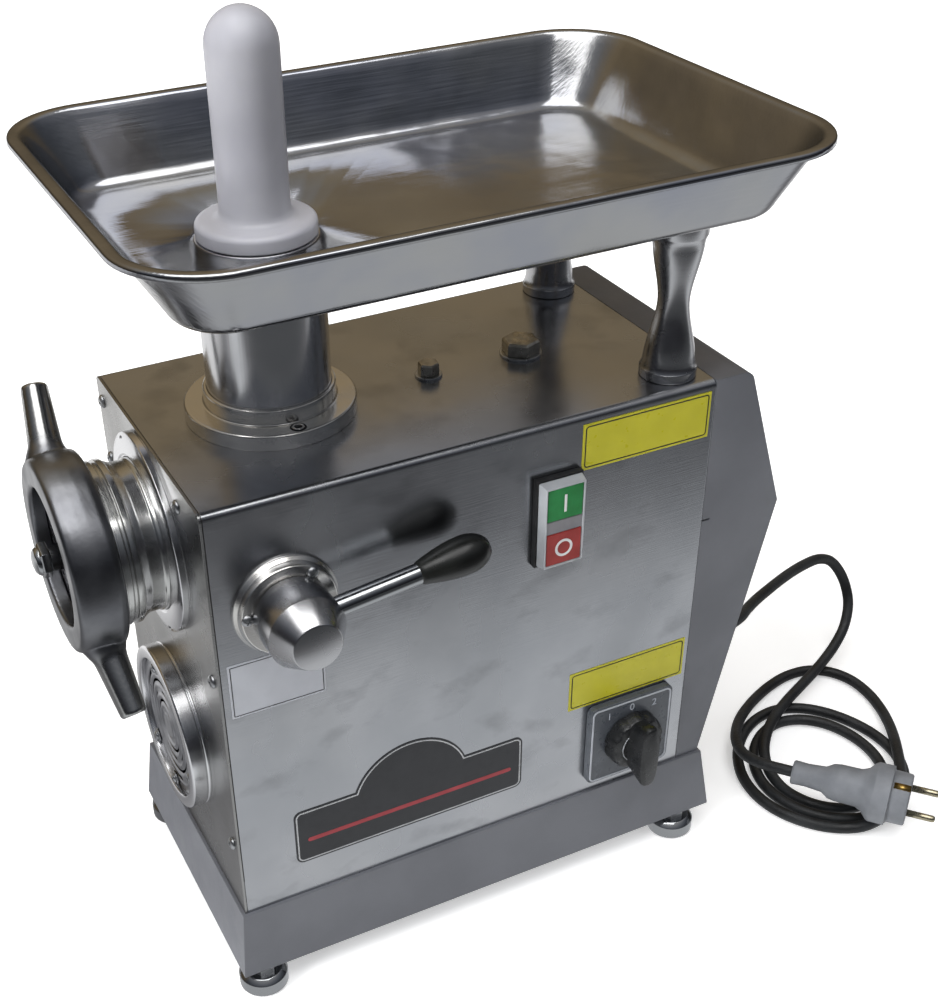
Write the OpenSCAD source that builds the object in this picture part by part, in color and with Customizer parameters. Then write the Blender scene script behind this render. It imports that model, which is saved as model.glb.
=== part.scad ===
// Electric meat grinder: a sheet steel housing on a painted base, a cast grinding head with a
// ring nut on its left end, a feed tray on a neck and two turned pillars, and a geared motor inside.
// Millimetres, +Z up. X runs along the head's axis, from the outlet to the motor cover.
// Inside the modules x is counted from the left end plate, y from the front sheet and z from
// the floor; place() then puts the middle of the whole machine, without its cord, on the origin.

/* [Housing] */
// Length of the steel housing, from the left end plate to the motor cover
body_l = 312; // [280:1:340]
// Depth of the housing, from the front sheet to the back sheet
body_d = 178; // [170:1:200]
// Height of the top sheet above the floor
body_top = 349; // [345:1:360]
// Thickness of the housing's stainless sheet
sheet_t = 1.5; // [1:0.1:2]
// Outside bend radius of the sheet between the front, the top and the back
bend_r = 4; // [3:0.5:6]
// Gap between two sheets that meet at a joint line
joint_gap = 0.3; // [0.3:0.05:0.6]

/* [Base] */
// Height of the base's lower edge above the floor
skirt_bottom = 18; // [16:1:22]
// Height of the painted base
skirt_h = 47; // [40:1:55]
// How far the base's lower edge stands out past the housing
skirt_flare = 7; // [4:0.5:10]
// Thickness of the base's painted sheet
skirt_t = 2; // [1.5:0.1:3]
// Width of the lip that is folded inwards along the base's lower edge
skirt_lip = 34; // [32:1:40]
// Ledge that the base's top leaves round the housing
skirt_ledge = 2; // [1:0.5:3]
// Thickness of the chassis plate that carries the motor and the gearbox
chassis_t = 4; // [3:0.5:6]

/* [Motor cover] */
// Reach of the cover's roof past the housing
cover_roof = 25; // [18:1:28]
// Reach of the cover's crease, its widest place, past the housing
cover_reach = 56.5; // [50:0.5:62]
// Reach of the cover's lower edge past the housing
cover_foot = 17.5; // [14:0.5:22]
// Depth of the crease below the roof
cover_crease = 95; // [80:1:110]
// Radius between the cover's roof and its slanted face
cover_round = 7; // [4:0.5:10]
// Thickness of the cover's painted sheet
cover_t = 1.5; // [1:0.1:2]

/* [Feet] */
// Radius of a foot's chromed cup
foot_r = 15.5; // [12:0.5:18]
// Height of a foot's cup
foot_h = 13; // [10:0.5:14]
// Wall of a foot's cup
foot_wall = 2; // [1.5:0.1:3]
// Radius of the threaded stud in a foot
foot_stud_r = 3; // [2.5:0.5:3]
// Distance from the front of the housing to the feet's axes
foot_in_y = 2; // [1:0.5:8]
// Distance from the left end plate to the left feet's axes
foot_in_x = 8; // [6:0.5:12]
// Distance that the right feet stand in from the base's right edge
foot_in_right = 24; // [20:1:30]

/* [Neck] */
// Distance from the left end plate to the throat's axis
neck_x = 75; // [70:1:80]
// Outside radius of the throat's tube
neck_r = 34.5; // [33:0.5:36]
// Radius of the throat's bore
throat_r = 27; // [25:0.5:28]
// Radius of the flange on the top sheet
neck_flange_r = 48; // [44:0.5:52]
// Thickness of the flange on the top sheet
neck_flange_t = 9; // [6:0.5:12]
// Height of the collar above the flange
neck_collar_h = 9; // [8:0.5:12]
// Wall of the collar round the tube
neck_collar_wall = 2.2; // [2:0.1:4]
// Clearance between the tube and the flange's bore
neck_gap = 0.1; // [0.05:0.05:0.3]
// Radius of the hexagon socket set screw in the collar
set_screw_r = 4; // [3:0.5:4.5]

/* [Tray] */
// Length of the tray over its rim
tray_l = 390; // [370:1:400]
// Width of the tray over its rim
tray_w = 269; // [260:1:280]
// Distance from the left end plate to the tray's middle
tray_x = 167; // [160:1:172]
// Height of the tray's floor above the housing
tray_rise = 101; // [90:1:110]
// Depth of the tray
tray_h = 41; // [36:1:50]
// Length of the tray's flat floor
floor_l = 332; // [320:1:340]
// Width of the tray's flat floor
floor_w = 220; // [210:1:225]
// Corner radius of the rim
rim_r = 49; // [40:1:56]
// Corner radius of the floor
floor_r = 28; // [20:1:36]
// Width of the flat rim
rim_w = 7; // [5:0.5:10]
// Thickness of the tray's sheet
tray_t = 1.2; // [1:0.1:2]
// Radius of the spigot on the throat's tube that centres the tray
spigot_r = 32.7; // [32.5:0.1:33]
// Clearance between the tray's hole and the spigot
tray_gap = 0.5; // [0.4:0.1:0.8]

/* [Pillars] */
// Distance from the housing's right end to the pillars' axes
pillar_in_x = 19; // [18:1:26]
// Distance of a pillar's axis from the front or the back of the housing
pillar_in = 22; // [20:1:30]
// Radius of a pillar's foot
pillar_foot_r = 16.5; // [14:0.5:18]
// Radius of a pillar's head
pillar_head_r = 16; // [14:0.5:18]
// Radius of a pillar's waist
pillar_waist_r = 9; // [7:0.5:11]
// Height of the straight ring at a pillar's foot
pillar_foot_h = 6; // [4:0.5:10]
// Height of the straight ring at a pillar's head
pillar_head_h = 16; // [10:0.5:22]

/* [Head] */
// Depth of the head's axis below the top sheet
head_drop = 58; // [56:0.5:60]
// Radius of the flange on the left end plate
head_flange_r = 58; // [54:0.5:60]
// Thickness of that flange
head_flange_t = 7; // [5:0.5:10]
// Outside radius of the barrel
barrel_r = 44; // [43:0.5:45]
// Outside radius of the barrel's threaded mouth
mouth_r = 47; // [46:0.5:49]
// Reach of the barrel's mouth in front of the end plate
barrel_reach = 51; // [48:1:56]
// Distance from the end plate to the barrel's rear end, inside the housing
barrel_rear = 138; // [130:1:142]
// Radius of the barrel's bore
bore_r = 35; // [34:0.5:36]
// Radius of the perforated plate
plate_r = 41; // [40:0.5:42]
// Thickness of the perforated plate
plate_t = 6; // [5:0.5:8]
// Radius of the plate's small holes
plate_hole_r = 3; // [2:0.25:3.5]
// Thickness of the knife's hub
knife_t = 7; // [6:0.5:9]
// Radial clearance of the plate in its seat
plate_gap = 0.15; // [0.05:0.05:0.3]
// Thickness of the barrel's rear wall, which carries the auger's journal
barrel_back = 12; // [8:1:14]
// Wall of the socket that holds the barrel inside the housing
socket_wall = 4.5; // [4:0.5:5]
// Clearance of the barrel in its socket
socket_gap = 0.3; // [0.3:0.05:0.5]

/* [Ring nut] */
// Width of the ring nut along its axis
nut_w = 28; // [24:1:32]
// Outside radius of the ring nut
nut_r = 56.5; // [54:0.5:59]
// Radius of the ring nut's open mouth
nut_open_r = 39.5; // [38:0.5:40]
// Thickness of the lip that holds the plate
nut_lip = 9; // [7:0.5:11]
// Clearance between the ring nut and the barrel's mouth
nut_gap = 0.4; // [0.3:0.05:0.6]
// Distance from the axis to the tip of a handle
handle_reach = 94; // [85:1:100]
// Radius of a handle at its root
handle_root_r = 8.8; // [8:0.2:10]
// Radius of a handle at its tip
handle_tip_r = 6.2; // [5:0.2:7]
// Angle of the handles above the horizontal, seen along the axis
handle_angle = 50; // [30:1:60]

/* [Auger] */
// Radius over the auger's flight
auger_r = 34.3; // [33:0.1:34.6]
// Radius of the auger's core
auger_core_r = 14; // [12:0.5:16]
// Turns of the flight
auger_turns = 2.5; // [2:0.25:3]
// Radius of the stud that carries the knife and passes through the plate
stud_r = 6; // [5:0.5:7]
// Reach of the stud's domed nut in front of the ring nut
stud_reach = 10; // [8:0.5:12]
// Radius of the domed nut
dome_r = 8.5; // [8:0.5:10]
// Running clearance of a turning piece in its bore
run_gap = 0.08; // [0.04:0.01:0.1]

/* [Vent] */
// Depth of the vent's middle, and of the motor's axis, below the head's axis
motor_drop = 140; // [140:1:140]
// Outside radius of the vent ring
vent_r = 52; // [48:0.5:54]
// Depth of the vent ring
vent_t = 12; // [8:0.5:16]
// Radius of the guard inside the ring
guard_r = 44; // [40:0.5:46]
// Thickness of the guard
guard_t = 2; // [1.5:0.1:3]
// Depth of the guard behind the ring's front
guard_sink = 2.5; // [1:0.5:4]
// Width of a slot in the guard
slot_w = 3; // [2:0.25:4]

/* [Head lock] */
// Distance from the left end plate to the lock's axis
lock_x = 42; // [38:1:46]
// Depth of the lock's axis below the top sheet
lock_drop = 66; // [62:1:70]
// Radius of the lock's flange
lock_flange_r = 30.5; // [28:0.5:33]
// Thickness of the lock's flange
lock_flange_t = 8; // [5:0.5:10]
// Radius of the lock's hub
lock_hub_r = 22; // [20:0.5:24]
// Distance from the front sheet to the hub's front edge
lock_hub_reach = 31; // [28:0.5:34]
// Distance from the front sheet to the cone's flat face
lock_nose_reach = 45; // [40:0.5:46]
// Radius of the cone's flat face
lock_nose_r = 13.7; // [12:0.1:15]
// Radius of the lock's screw
lock_pin_r = 7; // [6:0.5:8]
// Radius of the lever's rod
lever_r = 4.8; // [4:0.1:6]
// Distance from the lock's axis to the end of the lever's grip
lever_reach = 114; // [105:1:120]
// Length of the grip
grip_l = 44; // [40:1:48]
// Greatest radius of the grip
grip_r = 11; // [10:0.5:12]
// Slant of the lever above the horizontal
lever_angle = 7; // [4:1:12]

/* [Push buttons] */
// Distance from the housing's right end to the station's left side
station_in = 118; // [114:1:122]
// Width of the station
station_w = 28; // [26:0.5:30]
// Height of the station
station_h = 55; // [52:0.5:60]
// Depth of the station's top below the top sheet
station_drop = 33; // [30:1:38]
// Depth of the black collar behind the frame
station_collar_t = 4; // [3:0.5:5]
// Depth of the grey frame
station_frame_t = 7; // [6:0.5:8]
// Width of the frame round the buttons
station_rim = 2.2; // [2:0.1:3]
// Height of one button's cap
button_h = 20.6; // [19:0.2:21]
// Travel of a button
button_travel = 3; // [2:0.5:3.5]
// Clearance round a button's cap
button_gap = 0.3; // [0.3:0.05:0.5]

/* [Cam switch] */
// Distance from the housing's right end to the switch's axis
cam_in = 43; // [40:1:46]
// Height of the switch's axis above the base
cam_rise = 41; // [38:1:44]
// Side of the switch's square plate
cam_plate = 62; // [56:1:64]
// Thickness of the switch's plate
cam_plate_t = 6; // [4:0.5:8]
// Radius of the knob's disc
knob_r = 20.5; // [18:0.5:22]
// Thickness of the knob's disc
knob_disc_t = 10; // [8:0.5:12]
// Length of the knob's bar
knob_bar_l = 56; // [50:1:58]
// Width of the knob's bar
knob_bar_w = 14; // [12:0.5:16]
// Height of the knob's bar over its disc
knob_bar_h = 14; // [12:0.5:16]

/* [Pusher] */
// Radius of the pusher's stem
pusher_r = 18.5; // [17:0.5:20]
// Height of the pusher's dome above its collar's underside
pusher_h = 113; // [105:1:125]
// Radius of the pusher's collar
pusher_collar_r = 32; // [30:0.5:33]
// Thickness of the pusher's collar
pusher_collar_t = 9; // [7:0.5:12]
// Radius of the pusher's lower end, in the throat
pusher_plug_r = 24; // [22:0.5:25]
// Length of the pusher's lower end
pusher_plug_l = 60; // [50:1:70]

/* [Drive] */
// Module of every gear
gear_m = 2.5; // [2.5:0.5:2.5]
// Teeth of the motor's pinion
pinion_z = 12; // [12:1:12]
// Teeth of the intermediate gear
wheel_z = 48; // [48:1:48]
// Teeth of the pinion on the intermediate shaft
lay_z = 14; // [14:1:14]
// Teeth of the output gear
output_z = 38; // [38:1:38]
// Radius of the motor's frame
motor_r = 68; // [60:0.5:68]
// Length of the motor's frame
motor_l = 106; // [90:1:110]
// Wall of the motor's frame
motor_wall = 6; // [5:0.5:8]
// Radius of the motor's rotor
rotor_r = 36; // [32:0.5:40]
// Air gap between the rotor and the stator
air_gap = 0.5; // [0.3:0.1:0.8]
// Radius of the motor's shaft
shaft_r = 8; // [7:0.5:9]
// Radius of the intermediate shaft
lay_shaft_r = 9; // [8:0.5:10]
// Radius of the output shaft
out_shaft_r = 14; // [12:0.5:15]
// Wall of the gearbox's casting
box_wall = 5; // [4:0.5:5.5]
// Distance from the end plate to the gearbox
box_x = 150; // [148:1:154]
// Length of the gearbox's casting
box_l = 90; // [88:1:94]
// Free room between a gear's teeth and the casting
box_room = 1; // [0.8:0.1:1.2]
// Width of the two gears
gear_w = 18; // [14:1:20]
// Width that a pinion has beyond its gear
pinion_more = 4; // [2:1:5]
// Radius of the cooling fan
fan_r = 44; // [40:1:50]

/* [Labels] */
// Thickness of a label plate
label_t = 0.4; // [0.3:0.1:0.8]
// Length of the two yellow plates
yellow_l = 85; // [80:1:86]
// Height of the two yellow plates
yellow_h = 29; // [26:0.5:30]
// Length of the name plate
badge_l = 155; // [150:1:160]
// Height of the name plate's straight part
badge_h = 41; // [38:0.5:44]
// Height that the name plate's arch adds
badge_arch = 26; // [22:0.5:28]
// Length of the white plate
white_l = 56; // [50:1:58]
// Height of the white plate
white_h = 36; // [32:0.5:38]

/* [Cord] */
// Radius of the rubber cord
cord_r = 4; // [3.5:0.1:4.5]
// Radius of the cable gland's cap
gland_r = 11; // [9:0.5:13]
// Length of the gland's tapered sleeve
gland_l = 26; // [20:1:32]
// Radius of the coil's solid, outside
coil_out_r = 89; // [86:1:92]
// Radius of the coil's solid, inside
coil_in_r = 34; // [30:1:40]
// Height of the coil's solid
coil_h = 8.4; // [8.2:0.1:12]
// Radius of the plug's collar
plug_r = 21; // [19:0.5:22]
// Length of the plug without its pins
plug_l = 80; // [76:1:84]
// Spacing of the plug's two pins
pin_gap = 19; // [19:1:19]
// Radius of a plug pin
plug_pin_r = 2.4; // [2.4:0.1:2.4]
// Length of a plug pin
plug_pin_l = 19; // [19:1:19]

/* [Hidden] */
$fn = 96;
steel = "#b4b4b6";
satin = "#a2a2a6";
paint = "#71747c";
black = "#1c1d1e";
zinc = "#c2c2c0";
eps = 0.01;

// Axes and levels that several pieces share
mid_d = body_d / 2;
base_top = skirt_bottom + skirt_h;
chassis_top = base_top + chassis_t;
head_z = body_top - head_drop;
motor_z = head_z - motor_drop;
tray_z = body_top + tray_rise;
rim_z = tray_z + tray_h;
neck_top = tray_z + 1;
skirt_right = body_l + cover_foot + 2;
lock_z = body_top - lock_drop;
lever_y = -(lock_flange_t + lock_hub_reach) / 2;
station_top = body_top - station_drop;
station_front = -station_collar_t - station_frame_t;
cam_z = base_top + cam_rise;
cam_x = body_l - cam_in;
station_x = body_l - station_in;
pillar_x = body_l - pillar_in_x;
nut_front = -(barrel_reach + joint_gap + nut_lip);
nut_back = nut_front + nut_w;
stud_tip = nut_front - stud_reach;
plate_front = -barrel_reach;
knife_front = plate_front + plate_t + joint_gap;
auger_front = knife_front + knife_t + joint_gap;
auger_rear = barrel_rear - barrel_back - 1;
gland_z = base_top + 55;
gland_y = 48;

// The middle of the machine without its cord
mid_x = (stud_tip + body_l + cover_reach) / 2;
module place() translate([-mid_x, -mid_d, 0]) children();

// A round bar along X, from x over a length of l, about the axis at y, z
module bar_x(x, l, r, y = mid_d, z = head_z, r2 = undef)
    translate([x, y, z]) rotate([0, 90, 0]) cylinder(h = l, r1 = r, r2 = is_undef(r2) ? r : r2);

// A tube along X
module tube_x(x, l, r_out, r_in, y = mid_d, z = head_z)
    difference() {
        bar_x(x, l, r_out, y, z);
        bar_x(x - 1, l + 2, r_in, y, z);
    }

// A round bar along Y towards the back, from y over a length of l
module bar_y(x, y, z, l, r, r2 = undef)
    translate([x, y, z]) rotate([-90, 0, 0]) cylinder(h = l, r1 = r, r2 = is_undef(r2) ? r : r2);

// A box from its lowest to its highest corner
module block(lo, hi) translate(lo) cube(hi - lo);

// A flat outline in X and Z, drawn from y over a depth of d
module upright(y, d) translate([0, y + d, 0]) rotate([90, 0, 0]) linear_extrude(d) children();

// A rectangle with round corners of its own circles, so that its edges stay exact
module plain_rounded(l, h, r) {
    translate([r, 0]) square([l - 2 * r, h]);
    translate([0, r]) square([l, h - 2 * r]);
    for (x = [r, l - r], y = [r, h - r])
        translate([x, y]) circle(r, $fn = 32);
}

// A revolved piece along X: the outline's first number is the radius, the second the distance
// from x towards the outlet
module turned_x(x, y, z) translate([x, y, z]) rotate([0, -90, 0]) rotate_extrude() children();

// A revolved piece whose second number runs forward out of the front sheet
module turned_y(x, z, y = 0) translate([x, y, z]) rotate([90, 0, 0]) rotate_extrude() children();

// An outline in Y and Z, drawn from x over a length of l
module along_x(x, l) translate([x, 0, 0]) rotate([90, 0, 90]) linear_extrude(l) children();

// A pan head screw whose flat side lies on the outline's plane, with its shank below it
module pan_screw(r, head_h, shank) {
    difference() {
        rotate_extrude()
            polygon([[0, 0], [r, 0], [r, head_h * 0.4], [r * 0.62, head_h], [0, head_h]]);
        for (a = [0, 90])
            rotate(a) translate([-r * 0.6, -r * 0.09, head_h * 0.5]) cube([r * 1.2, r * 0.18, head_h]);
    }
    translate([0, 0, -shank]) cylinder(h = shank, r = r * 0.45, $fn = 32);
}

// The outline of the housing's sheet, seen along X, drawn in by i
module sheet_outline(i) {
    r = bend_r - i;
    translate([i, base_top]) square([body_d - 2 * i, body_top - base_top - i - r]);
    translate([i + r, base_top]) square([body_d - 2 * (i + r), body_top - base_top - i]);
    for (y = [i + r, body_d - i - r])
        translate([y, body_top - i - r]) circle(r, $fn = 48);
}

// Positions of the pan screws on the left end plate, as [y, z]
plate_screws = [[body_d - 8, body_top - 14], [body_d - 8, body_top - 52], [37, body_top - 14],
    [9, body_top - 110], [9, body_top - 232], [body_d - 8, base_top + 24]];
plate_screw_r = 4;
post_w = 14;

module body_shell() color(steel) place() difference() {
    along_x(sheet_t + joint_gap, body_l - sheet_t - joint_gap) difference() {
        sheet_outline(0);
        sheet_outline(sheet_t);
        translate([sheet_t, base_top - 1]) square([body_d - 2 * sheet_t, 2]);
    }
    translate([neck_x, mid_d, body_top - 10]) cylinder(h = 20, r = neck_r + 0.5);
    for (p = oil_plug_sites)
        translate([p[0], p[1], body_top - 10]) cylinder(h = 20, r = p[2] + 0.3);
    for (y = [pillar_in, body_d - pillar_in])
        translate([pillar_x, y, body_top - 10]) cylinder(h = 20, r = pillar_stud_r + 0.2);
    bar_y(lock_x, -5, lock_z, 20, lock_pin_r + 1);
    block([station_mid - block_w / 2 - joint_gap, -5, station_low + station_rim + 2],
        [station_mid + block_w / 2 + joint_gap, 5, station_top - station_rim - 2]);
    bar_y(cam_x, -5, cam_z, 20, cam_shaft_r + 2);
}

module left_end_plate() color(steel) place() difference() {
    along_x(0, sheet_t) sheet_outline(0);
    bar_x(-1, 10, barrel_r + socket_gap + socket_wall + joint_gap);
    bar_x(-1, 10, guard_r - 2, mid_d, motor_z);
    for (p = plate_screws)
        bar_x(-1, 10, plate_screw_r * 0.5, p[0], p[1]);
}

// The screws of the left end plate and of the motor cover
module housing_screws() color(zinc) place() {
    for (p = plate_screws)
        translate([0, p[0], p[1]]) rotate([0, -90, 0]) pan_screw(plate_screw_r, 2.4, 9);
    for (z = cover_screw_z)
        translate([cover_screw_x, body_d, z]) rotate([-90, 0, 0]) pan_screw(cover_screw_r, 2.4, 10);
}

// The posts and the crossbar that the sheets and the cover are fastened to
module inner_frame() color("#8a8c8e") place() difference() {
    union() {
        for (y = [sheet_t + joint_gap, body_d - sheet_t - joint_gap - post_w])
            for (x = [[sheet_t, sheet_t + post_w], [body_l - post_w, body_l + cover_foot - 4]])
                block([x[0], y, chassis_top], [x[1], y + post_w, body_top - 22]);
        block([sheet_t, sheet_t + joint_gap, body_top - 22],
            [sheet_t + post_w, body_d - sheet_t - joint_gap, body_top - bend_r]);
    }
    bar_x(0, 40, barrel_r + socket_gap + socket_wall + 0.5);
    for (p = plate_screws)
        bar_x(-1, 11, plate_screw_r * 0.5, p[0], p[1]);
    for (z = cover_screw_z)
        bar_y(cover_screw_x, body_d - 13, z, 20, cover_screw_r * 0.5);
}

cover_screw_x = body_l + 8;
cover_screw_z = [base_top + 25, body_top - 45];
cover_screw_r = 4;
crease_z = body_top - cover_crease;
cover_slope = atan2(cover_reach - cover_roof, cover_crease);
cover_turn = cover_round * tan((90 - cover_slope) / 2);

// The cover's outline in X and Z, drawn in by i
function cover_outline(i) = concat(
    [[body_l + joint_gap, base_top], [body_l + joint_gap, body_top - i]],
    [for (k = [0 : 8]) let (a = 90 - k * (90 - cover_slope) / 8)
        [body_l + cover_roof - i - cover_turn + cover_round * cos(a),
            body_top - i - cover_round + cover_round * sin(a)]],
    [[body_l + cover_reach - i, crease_z], [body_l + cover_foot - i, base_top]]);

module motor_cover() color(paint) place() difference() {
    upright(0, body_d) polygon(cover_outline(0));
    translate([0, 0, -eps]) upright(cover_t, body_d - 2 * cover_t) polygon(cover_outline(cover_t));
    block([body_l, cover_t, base_top - 1], [body_l + 2, body_d - cover_t, body_top - cover_t]);
    block([body_l + joint_gap, -1, crease_z], [body_l + 6, cover_t + 1, crease_z + 1.2]);
    gland_place() translate([0, 0, -10]) cylinder(h = 20, r = gland_stem_r + 0.2);
    for (z = cover_screw_z)
        bar_y(cover_screw_x, body_d - 5, z, 10, cover_screw_r * 0.5);
}

module base_skirt() color(paint) place() difference() {
    hull() {
        block([-skirt_flare, -skirt_flare, skirt_bottom],
            [skirt_right + skirt_flare, body_d + skirt_flare, skirt_bottom + 1]);
        block([-skirt_ledge, -skirt_ledge, base_top - 1],
            [skirt_right, body_d + skirt_ledge, base_top]);
    }
    hull() {
        block([skirt_t - skirt_flare, skirt_t - skirt_flare, skirt_bottom + skirt_t],
            [skirt_right + skirt_flare - skirt_t, body_d + skirt_flare - skirt_t,
                skirt_bottom + skirt_t + 1]);
        block([skirt_t - skirt_ledge, skirt_t - skirt_ledge, base_top - skirt_t - 1],
            [skirt_right - skirt_t, body_d + skirt_ledge - skirt_t, base_top - skirt_t]);
    }
    block([skirt_lip - skirt_flare, skirt_lip - skirt_flare, skirt_bottom - 1],
        [skirt_right + skirt_flare - skirt_lip, body_d + skirt_flare - skirt_lip, base_top + 1]);
    for (p = foot_sites)
        translate([p[0], p[1], skirt_bottom - 1]) cylinder(h = skirt_t + 2, r = foot_stud_r + 0.2);
}

module chassis_plate() color("#8f9193") place() difference() {
    block([sheet_t + 0.3, sheet_t + joint_gap, base_top],
        [body_l + cover_foot - cover_t - 2, body_d - sheet_t - joint_gap, chassis_top]);
    for (p = foot_sites)
        if (p[0] > 0)
            translate([p[0], p[1], base_top - 1]) cylinder(h = chassis_t + 2, r = 3);
}

foot_sites = [for (x = [foot_in_x, skirt_right + skirt_flare - foot_in_right],
    y = [foot_in_y, body_d - foot_in_y]) [x, y]];

module foot_cups() color("#c4c6c8") place() {
    for (p = foot_sites)
        translate([p[0], p[1], 0]) difference() {
            rotate_extrude() polygon([[0, 0], [foot_r - 1.5, 0], [foot_r, 1.5], [foot_r, foot_h - 3],
                [foot_r - 3, foot_h], [0, foot_h]]);
            translate([0, 0, foot_wall]) cylinder(h = foot_h, r = foot_stud_r + 0.1);
        }
}

module foot_studs() color(zinc) place() {
    for (p = foot_sites)
        translate([p[0], p[1], 0]) {
            translate([0, 0, foot_wall])
                cylinder(h = skirt_bottom + skirt_t + 10 - foot_wall, r = foot_stud_r);
            translate([0, 0, foot_h]) cylinder(h = skirt_bottom - foot_h, r = foot_stud_r * 3, $fn = 6);
            translate([0, 0, skirt_bottom + skirt_t]) cylinder(h = 5, r = foot_stud_r * 2, $fn = 6);
        }
}

module neck_flange() color(steel) place() translate([neck_x, mid_d, body_top]) difference() {
    rotate_extrude() polygon([[neck_r + neck_gap, 0], [neck_flange_r, 0],
        [neck_flange_r, neck_flange_t - 0.6], [neck_flange_r - 0.6, neck_flange_t],
        [neck_collar_r, neck_flange_t], [neck_collar_r, neck_flange_t + neck_collar_h - 1],
        [neck_collar_r - 1, neck_flange_t + neck_collar_h],
        [neck_r + neck_gap, neck_flange_t + neck_collar_h]]);
    translate([0, 0, set_screw_z]) rotate([90, 0, 0]) cylinder(h = neck_flange_r, r = set_screw_r);
}

neck_collar_r = neck_r + neck_gap + neck_collar_wall;
set_screw_z = neck_flange_t + neck_collar_h / 2;

// The tube between the barrel and the tray, with a spigot on top
module throat_tube() color(steel) place() difference() {
    translate([neck_x, mid_d, head_z]) union() {
        cylinder(h = tray_z - tray_t - head_z, r = neck_r);
        cylinder(h = neck_top - head_z, r = spigot_r);
    }
    translate([neck_x, mid_d, head_z - 1]) cylinder(h = neck_top - head_z + 2, r = throat_r);
    bar_x(0, barrel_rear, barrel_r + socket_gap);
}

// The socket that the barrel slides into, with the flange on the end plate
module head_socket() color(steel) place() difference() {
    union() {
        bar_x(0, box_x, barrel_r + socket_gap + socket_wall);
        turned_x(0, mid_d, head_z) polygon([[0, 0], [head_flange_r, 0], [head_flange_r, head_flange_t - 1],
            [head_flange_r - 1, head_flange_t], [0, head_flange_t]]);
    }
    bar_x(-head_flange_t - 1, box_x + head_flange_t + 2, barrel_r + socket_gap);
    translate([neck_x, mid_d, head_z]) cylinder(h = 60, r = neck_r + 0.1);
    bar_y(lock_x, mid_d - barrel_r - 12, lock_z, 20, lock_pin_r + run_gap);
    for (a = flange_bolt_angles)
        bar_x(-head_flange_t - 1, head_flange_t + 5, flange_bolt_r, flange_bolt_y(a), flange_bolt_z(a));
}

flange_bolt_r = 3;
flange_bolt_ring = 53;
flange_bolt_angles = [-27, 63, 243];
function flange_bolt_y(a) = mid_d + flange_bolt_ring * cos(a);
function flange_bolt_z(a) = head_z + flange_bolt_ring * sin(a);

// The hexagon socket screws in the neck's collar and in the head's flange
module head_set_screws() color("#58595c") place() {
    translate([neck_x, mid_d - neck_r - neck_gap, body_top + set_screw_z]) rotate([90, 0, 0])
        difference() {
            cylinder(h = neck_collar_wall - 0.4, r = set_screw_r);
            translate([0, 0, 0.8]) cylinder(h = neck_collar_wall, r = set_screw_r * 0.55, $fn = 6);
        }
    for (a = flange_bolt_angles)
        difference() {
            bar_x(1 - head_flange_t, head_flange_t - 1, flange_bolt_r, flange_bolt_y(a), flange_bolt_z(a));
            translate([-head_flange_t, flange_bolt_y(a), flange_bolt_z(a)]) rotate([0, 90, 0])
                cylinder(h = 3.5, r = flange_bolt_r * 0.6, $fn = 6);
        }
}

// The cast barrel, with its mouth towards the ring nut and its feed hole under the throat
module head_casting() color("#bcbcc0") place() difference() {
    turned_x(0, mid_d, head_z) polygon([[0, -barrel_rear], [barrel_r, -barrel_rear], [barrel_r, 8],
        [barrel_r - 0.8, 9.5], [barrel_r - 0.8, 16], [mouth_r - 1, 21], [mouth_r, 22.5], [mouth_r, 25],
        [mouth_r - 1.2, 25.6], [mouth_r - 1.2, 27.4], [mouth_r, 28], [mouth_r, barrel_reach],
        [0, barrel_reach]]);
    bar_x(knife_back, barrel_rear - barrel_back - knife_back, bore_r);
    bar_x(plate_front - 1, plate_t + 1, plate_r + plate_gap);
    bar_x(plate_front + plate_t - eps, knife_back - plate_front - plate_t + 2 * eps, bore_r);
    bar_x(barrel_rear - barrel_back - 1, barrel_back + 2, journal_r + run_gap);
    translate([neck_x, mid_d, head_z]) cylinder(h = 60, r = throat_r);
    for (a = [131, 188])
        translate([-9.6, mid_d, head_z]) rotate([a, 0, 0]) translate([0, barrel_r - 3, 0])
            rotate([-90, 0, 0]) cylinder(h = 10, r = 1.8);
}

knife_back = knife_front + knife_t;
journal_r = 14;

module perforated_plate() color("#a8a8aa") place() difference() {
    bar_x(plate_front, plate_t, plate_r);
    bar_x(plate_front - 1, plate_t + 2, stud_r + run_gap);
    for (ring = [[15, 9], [24, 15], [33, 21]], k = [0 : ring[1] - 1])
        let (a = 360 * k / ring[1])
            bar_x(plate_front - 1, plate_t + 2, plate_hole_r, mid_d + ring[0] * cos(a),
                head_z + ring[0] * sin(a));
}

module ring_nut() color(satin) place() {
    difference() {
        union() {
            turned_x(0, mid_d, head_z) polygon([[0, -nut_back], [nut_r - 3.5, -nut_back],
                [nut_r - 0.5, 3.5 - nut_back], [nut_r, nut_w / 2 - nut_back],
                [nut_r - 0.8, nut_w - 7 - nut_back], [nut_r - 2.5, nut_w - 3 - nut_back],
                [nut_r - 6, -nut_front], [0, -nut_front]]);
            for (a = [0, 180])
                translate([nut_front + nut_w * 0.55, mid_d, head_z]) rotate([handle_angle + a - 90, 0, 0]) {
                    cylinder(h = handle_reach - 1.2, r1 = handle_root_r + 2, r2 = handle_tip_r);
                    translate([0, 0, handle_reach - 1.2])
                        cylinder(h = 1.2, r1 = handle_tip_r, r2 = handle_tip_r - 1.2);
                }
        }
        bar_x(nut_front - 2, nut_w + 4, nut_open_r);
        bar_x(nut_front + nut_lip, nut_w, mouth_r + nut_gap);
    }
}

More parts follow.
